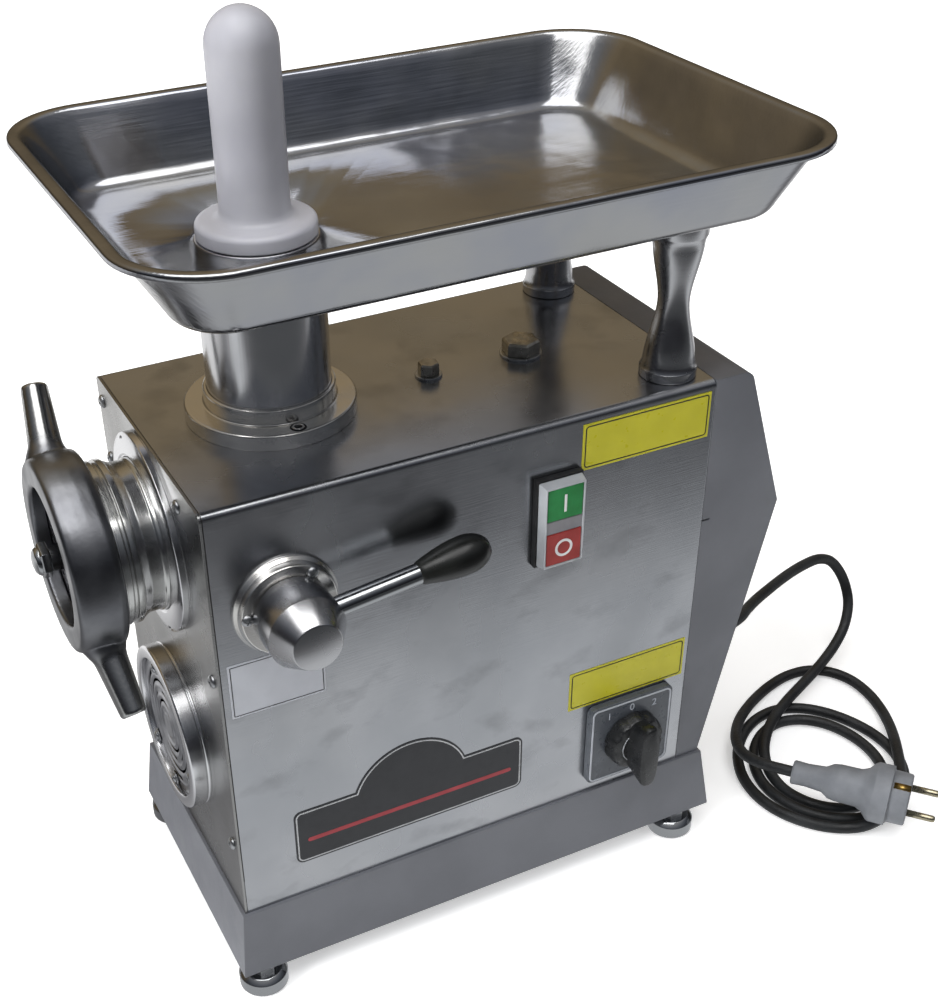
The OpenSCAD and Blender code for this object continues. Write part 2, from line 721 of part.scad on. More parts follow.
// The helix of the auger as one thin arm that is twisted along the axis
module auger() color("#a4a5a8") place() {
    translate([auger_rear, mid_d, head_z]) rotate([0, -90, 0])
        linear_extrude(auger_rear - auger_front, twist = 360 * auger_turns, slices = 70, $fn = 16)
            intersection() {
                circle(auger_r, $fn = 64);
                translate([0, -3.5]) square([auger_r + 1, 7]);
            }
    bar_x(auger_front, auger_rear - auger_front + 1, auger_core_r);
    bar_x(auger_rear, barrel_rear - auger_rear, journal_r);
    block([barrel_rear - 1, mid_d - tang / 2, head_z - tang / 2],
        [box_x + tang_in, mid_d + tang / 2, head_z + tang / 2]);
}

tang = 14;
tang_in = 6;
tang_gap = 0.3;

// The knife's square drive, the stud that passes through the plate and its domed nut
module auger_stud() color(steel) place() {
    block([knife_front, mid_d - stud_r, head_z - stud_r], [auger_front, mid_d + stud_r, head_z + stud_r]);
    bar_x(nut_front, knife_front - nut_front, stud_r);
    difference() {
        turned_x(0, mid_d, head_z) polygon([[0, -nut_front - 5], [dome_r, -nut_front - 5],
            [dome_r, -stud_tip - 4], [dome_r - 2.5, -stud_tip - 1], [dome_r - 5, -stud_tip],
            [0, -stud_tip]]);
        translate([stud_tip + 5, 0, 0]) difference() {
            bar_x(-6, 40, dome_r + 5);
            translate([-7, mid_d, head_z]) rotate([0, 90, 0]) cylinder(h = 42, r = dome_r, $fn = 6);
        }
    }
}

module knife() color("#9fa0a2") place() difference() {
    union() {
        bar_x(knife_front, knife_t, stud_r + 8);
        for (a = [0 : 90 : 270])
            translate([knife_front, mid_d, head_z]) rotate([a, 0, 0]) translate([0, 0, -5])
                cube([knife_t - 2, bore_r - 2, 10]);
    }
    block([knife_front - 1, mid_d - stud_r - 0.1, head_z - stud_r - 0.1],
        [knife_front + knife_t + 1, mid_d + stud_r + 0.1, head_z + stud_r + 0.1]);
}

module vent_ring() color(steel) place() turned_x(0, mid_d, motor_z)
    polygon([[guard_r - 2, 0], [vent_r, 0], [vent_r, vent_t - 1.5], [vent_r - 1.5, vent_t],
        [guard_r + 0.3, vent_t], [guard_r + 0.3, guard_seat], [guard_r - 2, guard_seat]]);

guard_seat = vent_t - guard_sink - guard_t;
guard_rings = [10, 16.5, 23, 29.5, 36];

// One ring of the guard: two arcs that leave a bridge at both ends, turned by a
module slot_ring(r, a) difference() {
    circle(r + slot_w / 2);
    circle(r - slot_w / 2);
    rotate(a) square([2.6 * r, 9 + r / 5], center = true);
}

module vent_guard() color("#b0b2b6") place()
    translate([-guard_seat - guard_t, mid_d, motor_z]) rotate([90, 0, 90]) linear_extrude(guard_t)
        difference() {
            circle(guard_r);
            for (c = vent_clips)
                rotate(c[0]) translate([c[1], 0]) circle(clip_screw_r * 0.47);
            for (k = [0 : len(guard_rings) - 1])
                slot_ring(guard_rings[k], k % 2 == 0 ? 55 : 145);
            square([slot_w, 9], center = true);
        }

// Places of the clips that hold the guard, as [angle, radius]
clip_screw_r = 3.2;
vent_clips = [[75, 40], [195, 41], [-92, 41], [-45, 40]];

// The screws of the vent's guard and of the lock's flange
module trim_screws() color(zinc) place() {
    for (c = vent_clips)
        translate([-guard_seat - guard_t, mid_d + c[1] * cos(c[0]), motor_z + c[1] * sin(c[0])])
            rotate([0, -90, 0]) pan_screw(clip_screw_r, 2.4, guard_t);
    for (a = lock_screw_angles)
        translate([lock_x + lock_screw_ring * cos(a), -lock_flange_t, lock_z + lock_screw_ring * sin(a)])
            rotate([90, 0, 0]) pan_screw(3.4, 1.2, lock_flange_t);
}

module lock_flange() color(steel) place() difference() {
    turned_y(lock_x, lock_z) polygon([[0, 0], [lock_flange_r, 0], [lock_flange_r, 1.5],
        [lock_flange_r - 2, 3.5], [lock_flange_r - 2.5, lock_flange_t - 1],
        [lock_flange_r - 3.5, lock_flange_t],
        [0, lock_flange_t]]);
    bar_y(lock_x, -lock_flange_t - 1, lock_z, lock_flange_t + 5, lock_pin_r + run_gap);
    for (a = lock_screw_angles)
        bar_y(lock_x + lock_screw_ring * cos(a), -lock_flange_t - 1,
            lock_z + lock_screw_ring * sin(a), 15, 1.8);
}

lock_screw_ring = 24.5;
lock_screw_angles = [56, 176, 296];

// The hub and its cone, with the screw that clamps the barrel
module lock_hub() color(steel) place() {
    difference() {
        turned_y(lock_x, lock_z) polygon([[0, hub_back], [lock_hub_r - 1, hub_back],
            [lock_hub_r, hub_back + 1], [lock_hub_r, lock_hub_reach],
            [lock_nose_r, lock_nose_reach], [0, lock_nose_reach]]);
        at_lever() translate([0, 0, lock_hub_r - lever_in - joint_gap])
            cylinder(h = lever_in + 5, r = lever_r + 0.05);
    }
    bar_y(lock_x, -hub_back - 1, lock_z, lock_pin_end + hub_back + 1, lock_pin_r);
}

hub_back = lock_flange_t + joint_gap;
lock_pin_end = mid_d - barrel_r - joint_gap;
lever_in = 6;

module at_lever() translate([lock_x, lever_y, lock_z]) rotate([0, 90 - lever_angle, 0]) children();

module lock_lever() color("#d0d0d2") place() at_lever()
    translate([0, 0, lock_hub_r - lever_in])
        cylinder(h = lever_reach - grip_l - lock_hub_r + 11 + lever_in, r = lever_r);

module lock_grip() color(black) place() at_lever() translate([0, 0, lever_reach - grip_l]) difference() {
    rotate_extrude() polygon([[0, 0], [grip_r * 0.5, 0], [grip_r * 0.6, 1], [grip_r * 0.84, grip_l * 0.28],
        [grip_r * 0.98, grip_l * 0.5], [grip_r, grip_l * 0.65], [grip_r * 0.9, grip_l * 0.82],
        [grip_r * 0.62, grip_l * 0.94], [grip_r * 0.3, grip_l * 0.99], [0, grip_l]]);
    translate([0, 0, -1]) cylinder(h = 12.3, r = lever_r + 0.05);
}

station_low = station_top - station_h;
station_mid = station_x + station_w / 2;
block_w = 18;
stem_r = 3;
open_h = station_h - 2 * station_rim;
bridge_h = open_h - 2 * (button_h + 2 * button_gap);

module station_opening(y0, y1)
    block([station_x + station_rim, y0, station_low + station_rim],
        [station_x + station_w - station_rim, y1, station_top - station_rim]);

module station_collar() color(black) place() difference() {
    block([station_x - 1.2, -station_collar_t, station_low - 1.2],
        [station_x + station_w + 1.2, 0, station_top + 1.2]);
    station_opening(-station_collar_t - 1, 1);
}

module station_frame() color("#a6a9ad") place() difference() {
    hull() {
        block([station_x, -station_collar_t - 3, station_low],
            [station_x + station_w, -station_collar_t, station_top]);
        block([station_x + 1.4, station_front, station_low + 1.4],
            [station_x + station_w - 1.4, station_front + 1, station_top - 1.4]);
    }
    station_opening(station_front - 1, 1);
}

bridge_top = station_top - station_rim - 2 * button_gap - button_h;
module station_bridge() color("#9da0a4") place()
    block([station_x + station_rim, station_front + 0.8, bridge_top - bridge_h],
        [station_x + station_w - station_rim, -0.2, bridge_top]);

// A button's cap and its stem, whose cap starts at height z
module push_button(z) {
    block([station_x + station_rim + button_gap, station_front + 0.4, z],
        [station_x + station_w - station_rim - button_gap, -button_travel - 0.5, z + button_h]);
    bar_y(station_mid, -button_travel - 1, z + button_h / 2, button_travel + 4, stem_r);
}

start_z = station_top - station_rim - button_gap - button_h;
stop_z = station_low + station_rim + button_gap;
module start_button() color("#1d9450") place() push_button(start_z);
module stop_button() color("#b5222c") place() push_button(stop_z);

// The contact block behind the push buttons
module contact_block() difference() {
    block([station_mid - block_w / 2, 0, station_low + station_rim + 2 + joint_gap],
        [station_mid + block_w / 2, block_back, station_top - station_rim - 2 - joint_gap]);
    for (z = [start_z, stop_z])
        bar_y(station_mid, -1, z + button_h / 2, button_travel + 5, stem_r + 0.3);
}

cam_shaft_r = 4;
cam_body = 42;
module cam_plate_frame() color("#8e98a4") place() difference() {
    upright(-cam_plate_t, cam_plate_t) translate([cam_x - cam_plate / 2, cam_z - cam_plate / 2])
        plain_rounded(cam_plate, cam_plate, 5);
    bar_y(cam_x, -cam_plate_t - 1, cam_z, cam_plate_t + 2, cam_shaft_r + 0.1);
}

// The cam switch's own body behind its plate
module cam_switch_body() difference() {
    union() {
        block([cam_x - cam_body / 2, sheet_t, cam_z - cam_body / 2],
            [cam_x + cam_body / 2, block_back, cam_z + cam_body / 2]);
        bar_y(cam_x, 0, cam_z, 3, cam_shaft_r + 1.7);
    }
    bar_y(cam_x, -1, cam_z, cam_shaft_in + 2, cam_shaft_r + run_gap);
}

module switch_blocks() color("#2b2c2e") place() {
    contact_block();
    cam_switch_body();
}

module cam_knob() color(black) place() {
    bar_y(cam_x, -cam_plate_t - joint_gap, cam_z, cam_plate_t + joint_gap + cam_shaft_in, cam_shaft_r);
    bar_y(cam_x, -cam_plate_t - joint_gap - knob_disc_t, cam_z, knob_disc_t, knob_r - 1.5, knob_r);
    upright(-cam_plate_t - joint_gap - knob_disc_t - knob_bar_h, knob_bar_h + 2)
        translate([cam_x - knob_bar_w / 2, cam_z - knob_bar_l / 2])
            plain_rounded(knob_bar_w, knob_bar_l, 4);
}

module caution_plate() color("#e8d21c") place()
    block([cam_x - 45, -label_t, body_top - 6 - yellow_h], [cam_x - 45 + yellow_l, 0, body_top - 6]);

module switch_plate() color("#e8d21c") place()
    block([cam_x - 45, -label_t, cam_z + cam_plate / 2 + 2],
        [cam_x - 45 + yellow_l, 0, cam_z + cam_plate / 2 + 2 + yellow_h]);

module instruction_plate() color("#dadde0") place()
    block([6, -label_t, lock_z - lock_flange_r - white_h], [6 + white_l, 0, lock_z - lock_flange_r]);

module badge_plate() color("#1a1a1c") place() {
    r = (badge_arch_half * badge_arch_half + badge_arch * badge_arch) / (2 * badge_arch);
    upright(-label_t, label_t) translate([badge_x, badge_z]) {
        plain_rounded(badge_l, badge_h, 5);
        intersection() {
            translate([badge_l / 2, badge_h + badge_arch - r]) circle(r);
            translate([0, badge_h - 10]) square([badge_l, badge_arch + 10]);
        }
    }
}

badge_arch_half = 37;
badge_x = 36;
badge_z = base_top + 26;

oil_plug_sites = [[170.6, mid_d - 5, 4, 8, 6.5, 7], [231.5, mid_d - 5, 7, 12.5, 11.5, 8]];
washer_t = 1.5;

module oil_plugs() color("#9a9b9d") place() {
    for (p = oil_plug_sites)
        translate([p[0], p[1], 0]) {
            translate([0, 0, body_top + washer_t]) cylinder(h = p[5], r = p[4], $fn = 6);
            translate([0, 0, box_top - box_wall])
                cylinder(h = body_top + washer_t - box_top + box_wall, r = p[2]);
        }
}

module plug_washers() color(zinc) place() {
    for (p = oil_plug_sites)
        translate([p[0], p[1], body_top]) difference() {
            cylinder(h = washer_t, r = p[3]);
            translate([0, 0, -1]) cylinder(h = washer_t + 2, r = p[2] + 0.2);
        }
}

pillar_stud_r = 4;

// A turned pillar with a waist, and the stud that holds it to the top sheet
module tray_pillars() color(steel) place() {
    h = tray_z - tray_t - body_top;
    for (y = [pillar_in, body_d - pillar_in])
        translate([pillar_x, y, body_top]) {
            rotate_extrude() polygon(concat([[0, 0], [pillar_foot_r, 0], [pillar_foot_r, pillar_foot_h]],
                [for (k = [0 : 12]) let (t = k / 12, side = (t < 0.5 ? pillar_foot_r : pillar_head_r) - 2)
                    [pillar_waist_r + (side - pillar_waist_r) * pow(abs(cos(180 * t)), 1.8),
                        pillar_foot_h + t * (h - pillar_foot_h - pillar_head_h)]],
                [[pillar_head_r, h - pillar_head_h], [pillar_head_r, h], [0, h]]));
            translate([0, 0, -9]) cylinder(h = 10, r = pillar_stud_r);
            translate([0, 0, -sheet_t - 4]) cylinder(h = 4, r = pillar_stud_r * 1.9, $fn = 6);
        }
}

module tray_slab(l, w, r, z) translate([tray_x - l / 2, mid_d - w / 2, z]) linear_extrude(0.1)
    plain_rounded(l, w, r);

module feed_tray() color(steel) place() difference() {
    union() {
        hull() {
            tray_slab(floor_l, floor_w, floor_r, tray_z - tray_t);
            tray_slab(tray_l - 2 * rim_w, tray_w - 2 * rim_w, rim_r - rim_w, rim_z - 0.1);
        }
        translate([tray_x - tray_l / 2, mid_d - tray_w / 2, rim_z - tray_t]) linear_extrude(tray_t)
            plain_rounded(tray_l, tray_w, rim_r);
    }
    hull() {
        tray_slab(floor_l - tray_t, floor_w - tray_t, floor_r - tray_t, tray_z);
        tray_slab(tray_l - 2 * (rim_w + tray_t), tray_w - 2 * (rim_w + tray_t), rim_r - rim_w - tray_t,
            rim_z + 0.1);
    }
    translate([neck_x, mid_d, tray_z - 5]) cylinder(h = 10, r = spigot_r + tray_gap);
}

// The plastic pusher: a domed stem, a collar over the throat and a plug inside it
module pusher() color("#e2e2ee") place() translate([neck_x, mid_d, neck_top + joint_gap]) rotate_extrude()
    polygon(concat([[0, -pusher_plug_l], [pusher_plug_r - 2, -pusher_plug_l],
        [pusher_plug_r, 2 - pusher_plug_l],
        [pusher_plug_r, 0], [pusher_collar_r, 0], [pusher_collar_r, pusher_collar_t - 3],
        [pusher_collar_r - 2, pusher_collar_t - 0.6], [pusher_collar_r - 5, pusher_collar_t],
        [pusher_r + 2, pusher_collar_t + 0.6], [pusher_r, pusher_collar_t + 3]],
        [for (k = [0 : 9]) let (a = k * 10)
            [pusher_r * cos(a), pusher_h - pusher_r + pusher_r * sin(a)]],
        [[0, pusher_h]]));

// Involute gears of pressure angle 25, whose tooth's first is centred on angle 0
pressure = 25;
backlash = 0.12;
tooth_top = 0.8;
tooth_root = 1.1;
function pitch_r(z) = gear_m * z / 2;
function tip_r(z) = pitch_r(z) + tooth_top * gear_m;
function involute(a) = tan(a) * 180 / PI - a;
function tooth_half(z, rho) = 90 / z - backlash / 2 / pitch_r(z) * 180 / PI + involute(pressure)
    - involute(acos(min(1, pitch_r(z) * cos(pressure) / rho)));
function flank(z) = let (low = max(pitch_r(z) * cos(pressure), pitch_r(z) - tooth_root * gear_m))
    [for (k = [0 : 4]) let (rho = low + (tip_r(z) - low) * k / 4) [rho, tooth_half(z, rho)]];
function gear_points(z) = let (f = flank(z), root = pitch_r(z) - tooth_root * gear_m, h = f[0][1])
    [for (i = [0 : z - 1], p = concat([[root, -h]], [for (q = f) [q[0], -q[1]]],
        [for (k = [4 : -1 : 0]) [f[k][0], f[k][1]]], [[root, h]]))
        p[0] * [cos(p[1] + i * 360 / z), sin(p[1] + i * 360 / z)]];

// A gear about the X axis through height zc, turned by a
module gear_x(x, w, zc, z, a) translate([x, mid_d, zc]) rotate([90, 0, 90]) rotate(a)
    linear_extrude(w) polygon(gear_points(z));

lay_z_axis = motor_z + gear_m * (pinion_z + wheel_z) / 2;
box_top = head_z + tip_r(output_z) + box_room + box_wall;
box_low = motor_z - tip_r(pinion_z) - box_room - box_wall - 3;
box_half = tip_r(wheel_z) + box_room + box_wall;
gear1_x = box_x + box_wall + 6;
web_x = gear1_x + gear_w + 5;
web_t = 8;
gear2_x = web_x + web_t + 5;
box_end = box_x + box_l;

// The switches' bodies end in front of the gearbox
block_back = mid_d - box_half - 3;
cam_shaft_in = block_back - 4;

module gearbox_housing() color("#7f8284") place() difference() {
    block([box_x, mid_d - box_half, box_low], [box_end, mid_d + box_half, box_top]);
    block([box_x + box_wall, mid_d - box_half + box_wall, box_low + box_wall],
        [web_x, mid_d + box_half - box_wall, box_top - box_wall]);
    block([web_x + web_t, mid_d - box_half + box_wall, box_low + box_wall],
        [box_end + 1, mid_d + box_half - box_wall, box_top - box_wall]);
    bar_x(box_x - 1, box_l, out_shaft_r + bearing_t);
    bar_x(box_x + 2, box_l - 4, lay_shaft_r + bearing_t, mid_d, lay_z_axis);
    bar_x(box_x - 1, box_l, shaft_r + bearing_t, mid_d, motor_z);
    for (p = oil_plug_sites)
        translate([p[0], p[1], box_top - 10]) cylinder(h = 20, r = p[2] + 0.1);
}

bearing_t = 5;

module gearbox_cover() color("#86898b") place() difference() {
    union() {
        block([box_end, mid_d - box_half, box_low], [box_end + box_wall, mid_d + box_half, box_top]);
        block([box_end - box_l / 3, mid_d - box_half, chassis_top],
            [box_end + box_wall, mid_d + box_half, box_low]);
    }
    bar_x(box_end - 1, box_wall, lay_shaft_r + run_gap, mid_d, lay_z_axis);
    bar_x(box_end - 1, box_wall, shaft_r + run_gap, mid_d, motor_z);
}

module shaft_bearings() color("#b9b48c") place() {
    for (x = [box_x, web_x]) {
        tube_x(x, x == box_x ? box_wall : web_t, out_shaft_r + bearing_t, out_shaft_r + run_gap);
        tube_x(x == box_x ? x + 2 : x, x == box_x ? box_wall - 2 : web_t, lay_shaft_r + bearing_t,
            lay_shaft_r + run_gap, mid_d, lay_z_axis);
        tube_x(x, x == box_x ? box_wall : web_t, shaft_r + bearing_t, shaft_r + run_gap, mid_d, motor_z);
    }
}

module output_gear() color("#8d8f92") place() difference() {
    union() {
        gear_x(gear1_x, gear_w, head_z, output_z, -90 + 180 / output_z);
        bar_x(box_x + joint_gap, web_x + web_t - box_x - joint_gap, out_shaft_r);
    }
    block([box_x - 1, mid_d - tang / 2 - tang_gap, head_z - tang / 2 - tang_gap],
        [box_x + tang_in + 3, mid_d + tang / 2 + tang_gap, head_z + tang / 2 + tang_gap]);
}

module lay_shaft() color("#838588") place() {
    bar_x(box_x + 2.3, box_l + box_wall - 4, lay_shaft_r, mid_d, lay_z_axis);
    gear_x(gear1_x - pinion_more / 2, gear_w + pinion_more, lay_z_axis, lay_z, 90);
    gear_x(gear2_x, gear_w, lay_z_axis, wheel_z, -90 + 180 / wheel_z);
}

motor_x = 28;
motor_end = motor_x + motor_l;
core_x = motor_x + motor_wall + 12;
core_l = motor_l - 2 * motor_wall - 24;

module motor_frame() color("#6f7478") place() difference() {
    union() {
        bar_x(motor_x, motor_l, motor_r, mid_d, motor_z);
        for (x = [motor_x + 12, motor_end - 32])
            block([x, mid_d - 48, chassis_top], [x + 20, mid_d + 48, motor_z - 40]);
    }
    bar_x(motor_x + motor_wall, motor_l - 2 * motor_wall, motor_r - motor_wall, mid_d, motor_z);
    bar_x(motor_x - 1, motor_l + 2, shaft_r + run_gap, mid_d, motor_z);
}

module motor_stator() color("#9a6a3a") place()
    tube_x(core_x, core_l, motor_r - motor_wall, rotor_r + air_gap, mid_d, motor_z);

// The rotor, its shaft and the pinion that is cut on the shaft's end
module motor_rotor() color("#8b8e92") place() {
    bar_x(motor_x - 16, box_end + box_wall - 1.5 - motor_x + 16, shaft_r, mid_d, motor_z);
    bar_x(core_x, core_l, rotor_r, mid_d, motor_z);
    gear_x(gear2_x - pinion_more / 2, gear_w + pinion_more, motor_z, pinion_z, 90);
}

module cooling_fan() color("#2d2f31") place() difference() {
    union() {
        bar_x(motor_x - 15, 13, shaft_r + 5, mid_d, motor_z);
        for (a = [0 : 45 : 315])
            translate([motor_x - 14, mid_d, motor_z]) rotate([a, 0, 0]) translate([0, shaft_r + 4, -1])
                cube([11, fan_r - shaft_r - 4, 2]);
    }
    bar_x(motor_x - 17, 18, shaft_r + 0.02, mid_d, motor_z);
}

// The motor's capacitor and the terminal block behind the cable's entry, both on the chassis
module electrics() color("#c9cac4") place() {
    translate([wiring_x, mid_d + capacitor_r + 16, chassis_top])
        cylinder(h = 4 * capacitor_r, r = capacitor_r);
    block([wiring_x - terminal_w / 2, gland_y - terminal_l / 2, chassis_top],
        [wiring_x + terminal_w / 2, gland_y + terminal_l / 2, cam_z - cam_body / 2 - 2]);
}

capacitor_r = 20;
terminal_l = 28;
terminal_w = 20;
wiring_x = box_end + box_wall + 3 + capacitor_r;

gland_stem_r = 8;
cover_lower = atan2(cover_reach - cover_foot, crease_z - base_top);
gland_x = body_l + cover_foot + (gland_z - base_top) * tan(cover_lower);

// Turns children so that their Z leaves the cover's lower face at the gland
module gland_place() translate([gland_x, gland_y, gland_z]) rotate([0, 90 + cover_lower, 0]) children();

module cable_gland() color(black) place() gland_place() {
    cylinder(h = 4, r = gland_r + 2, $fn = 6);
    translate([0, 0, 4]) cylinder(h = 8, r = gland_r);
    translate([0, 0, 12]) cylinder(h = gland_l - 12, r1 = gland_r - 3, r2 = cord_r + 1.5);
    translate([0, 0, -8]) cylinder(h = 8.01, r = gland_stem_r);
    translate([0, 0, -cover_t - 4]) cylinder(h = 4, r = gland_r + 2, $fn = 6);
}

// The cord's route from the gland to the floor, in the machine's own places
gland_tip = [gland_x + gland_l * cos(cover_lower), gland_y, gland_z - gland_l * sin(cover_lower)];
free_route = [[385, 54, 112], [403, 62, 110], [432, 82, 104], [470, 101, 98], [503, 117, 90],
    [532, 127, 79], [552, 129, 65], [561, 126, 49], [561, 120, 34], [553, 113, 23], [537, 104, 16],
    [512, 93, 13], [488, 85, 12.5], [466, 77, 12], [444, 66, 12.5], [425, 52, 12.5], [411, 34, 11],
    [403, 14, 6.5]];
tail_route = [[408.7, 83.1, 4], [392, 62, 6], [384, 38, 12], [383, 14, 20], [390, -4, 26.5]];

coil_x = 456;
coil_y = 14;
plug_z = coil_h + plug_r + joint_gap;
plug_rear = [402, -18, plug_z];
plug_turn = -49;
plug_roll = 25;

// Points between a route's own points, on a smooth curve through them
function smooth(p0, p1, p2, p3, t) = 0.5 * (2 * p1 + (p2 - p0) * t + (2 * p0 - 5 * p1 + 4 * p2 - p3) * t * t
    + (3 * p1 - p0 - 3 * p2 + p3) * t * t * t);
function curve(route, n) = let (m = len(route) - 1) concat([for (i = [0 : m - 1], k = [0 : n - 1])
    smooth(route[max(i - 1, 0)], route[i], route[i + 1], route[min(i + 2, m)], k / n)], [route[m]]);

// A round cord of radius r along the points of path, as one solid of 8 sides
module cord(path, r) {
    last = len(path) - 1;
    rings = [for (i = [0 : last]) let (d = path[min(i + 1, last)] - path[max(i - 1, 0)], u = d / norm(d),
        s = cross(u, [0, 0, 1]), side = norm(s) < 0.01 ? [1, 0, 0] : s / norm(s), up = cross(side, u))
        for (k = [0 : 7]) path[i] + r * (cos(45 * k) * side + sin(45 * k) * up)];
    faces = concat([[for (k = [0 : 7]) k]], [[for (k = [7 : -1 : 0]) last * 8 + k]],
        [for (i = [0 : last - 1], k = [0 : 7]) let (n = (k + 1) % 8)
            [i * 8 + k, i * 8 + 8 + k, i * 8 + 8 + n, i * 8 + n]]);
    polyhedron(rings, faces);
}

module power_cord() color(black) place() cord(curve(concat([gland_tip], free_route), 4), cord_r);

module cord_coil() color(black) place() translate([coil_x, coil_y, 0]) rotate_extrude()
    polygon([[coil_in_r, 0], [coil_out_r, 0], [coil_out_r, coil_h], [coil_in_r, coil_h]]);

module cord_tail() color(black) place() cord(curve(concat(tail_route, [plug_rear]), 4), cord_r);

module at_plug() translate(plug_rear) rotate([0, 0, plug_turn]) rotate([0, 90, 0]) rotate(plug_roll)
    children();

module mains_plug() color("#9a9da2") place() at_plug() rotate_extrude()
    polygon([[0, 0], [7.5, 0], [8.6, 1], [8.6, 14], [9.6, 22], [12.8, 27], [13.6, 32], [13.8, 46],
        [16, 50.5], [plug_r - 1.2, 53.5], [plug_r, 56], [plug_r, 67.3], [plug_r - 2, 67.3],
        [plug_r - 2, plug_l], [0, plug_l]]);

module plug_pins() color("#b59a5a") place() at_plug() for (s = [-1, 1])
    translate([0, s * pin_gap / 2, plug_l]) cylinder(h = plug_pin_l, r = plug_pin_r);

body_shell();
left_end_plate();
housing_screws();
inner_frame();
motor_cover();
base_skirt();
chassis_plate();
foot_cups();
foot_studs();
neck_flange();
head_set_screws();
throat_tube();
head_socket();
head_casting();
perforated_plate();
ring_nut();
auger();
auger_stud();
knife();
vent_ring();
vent_guard();
trim_screws();
lock_flange();
lock_hub();
lock_lever();
lock_grip();
station_collar();
station_frame();
station_bridge();
start_button();
stop_button();
switch_blocks();
cam_plate_frame();
cam_knob();
caution_plate();
switch_plate();
instruction_plate();
badge_plate();
oil_plugs();
plug_washers();
tray_pillars();
feed_tray();
pusher();
gearbox_housing();
gearbox_cover();
shaft_bearings();
output_gear();
lay_shaft();
motor_frame();
motor_stator();
motor_rotor();
cooling_fan();
electrics();
cable_gland();
power_cord();
cord_coil();
cord_tail();
mains_plug();
plug_pins();
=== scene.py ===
"""Electric meat grinder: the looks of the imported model, in metres, in the model's own frame."""
import math

import bmesh
import bpy
from mathutils import Matrix, Vector


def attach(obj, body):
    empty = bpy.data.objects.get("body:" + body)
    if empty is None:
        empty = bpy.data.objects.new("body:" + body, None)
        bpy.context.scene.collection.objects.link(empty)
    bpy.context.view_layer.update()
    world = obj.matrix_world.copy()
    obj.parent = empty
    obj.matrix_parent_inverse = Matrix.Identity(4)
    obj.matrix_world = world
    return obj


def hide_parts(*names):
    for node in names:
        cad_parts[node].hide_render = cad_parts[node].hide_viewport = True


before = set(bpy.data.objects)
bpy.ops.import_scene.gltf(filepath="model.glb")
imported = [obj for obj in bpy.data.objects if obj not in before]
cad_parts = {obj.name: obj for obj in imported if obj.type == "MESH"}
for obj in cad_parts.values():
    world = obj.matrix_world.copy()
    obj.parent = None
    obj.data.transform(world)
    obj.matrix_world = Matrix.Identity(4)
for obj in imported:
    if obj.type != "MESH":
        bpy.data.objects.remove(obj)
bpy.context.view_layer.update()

# ------------
# The camera: a hand-held view from the front left, above the tray.
camera_place = (-0.3248, -0.7028, 0.7412)
azimuth, elevation, roll = math.radians(-25.04), math.radians(35.64), -0.027
camera = bpy.data.objects.new("camera", bpy.data.cameras.new("camera"))
bpy.context.scene.collection.objects.link(camera)
back = Vector((math.sin(azimuth) * math.cos(elevation), -math.cos(azimuth) * math.cos(elevation),
               math.sin(elevation)))
level = Vector((math.cos(azimuth), math.sin(azimuth), 0))
upright = back.cross(level)
right = level * math.cos(roll) + upright * math.sin(roll)
up = upright * math.cos(roll) - level * math.sin(roll)
camera.matrix_world = Matrix.Translation(camera_place) @ Matrix((right, up, back)).transposed().to_4x4()
camera.data.lens = 53.76
camera.data.sensor_width = 36
camera.data.shift_x = 0.0661
camera.data.shift_y = 0.1106
camera.data.clip_start = 0.05
bpy.context.scene.camera = camera

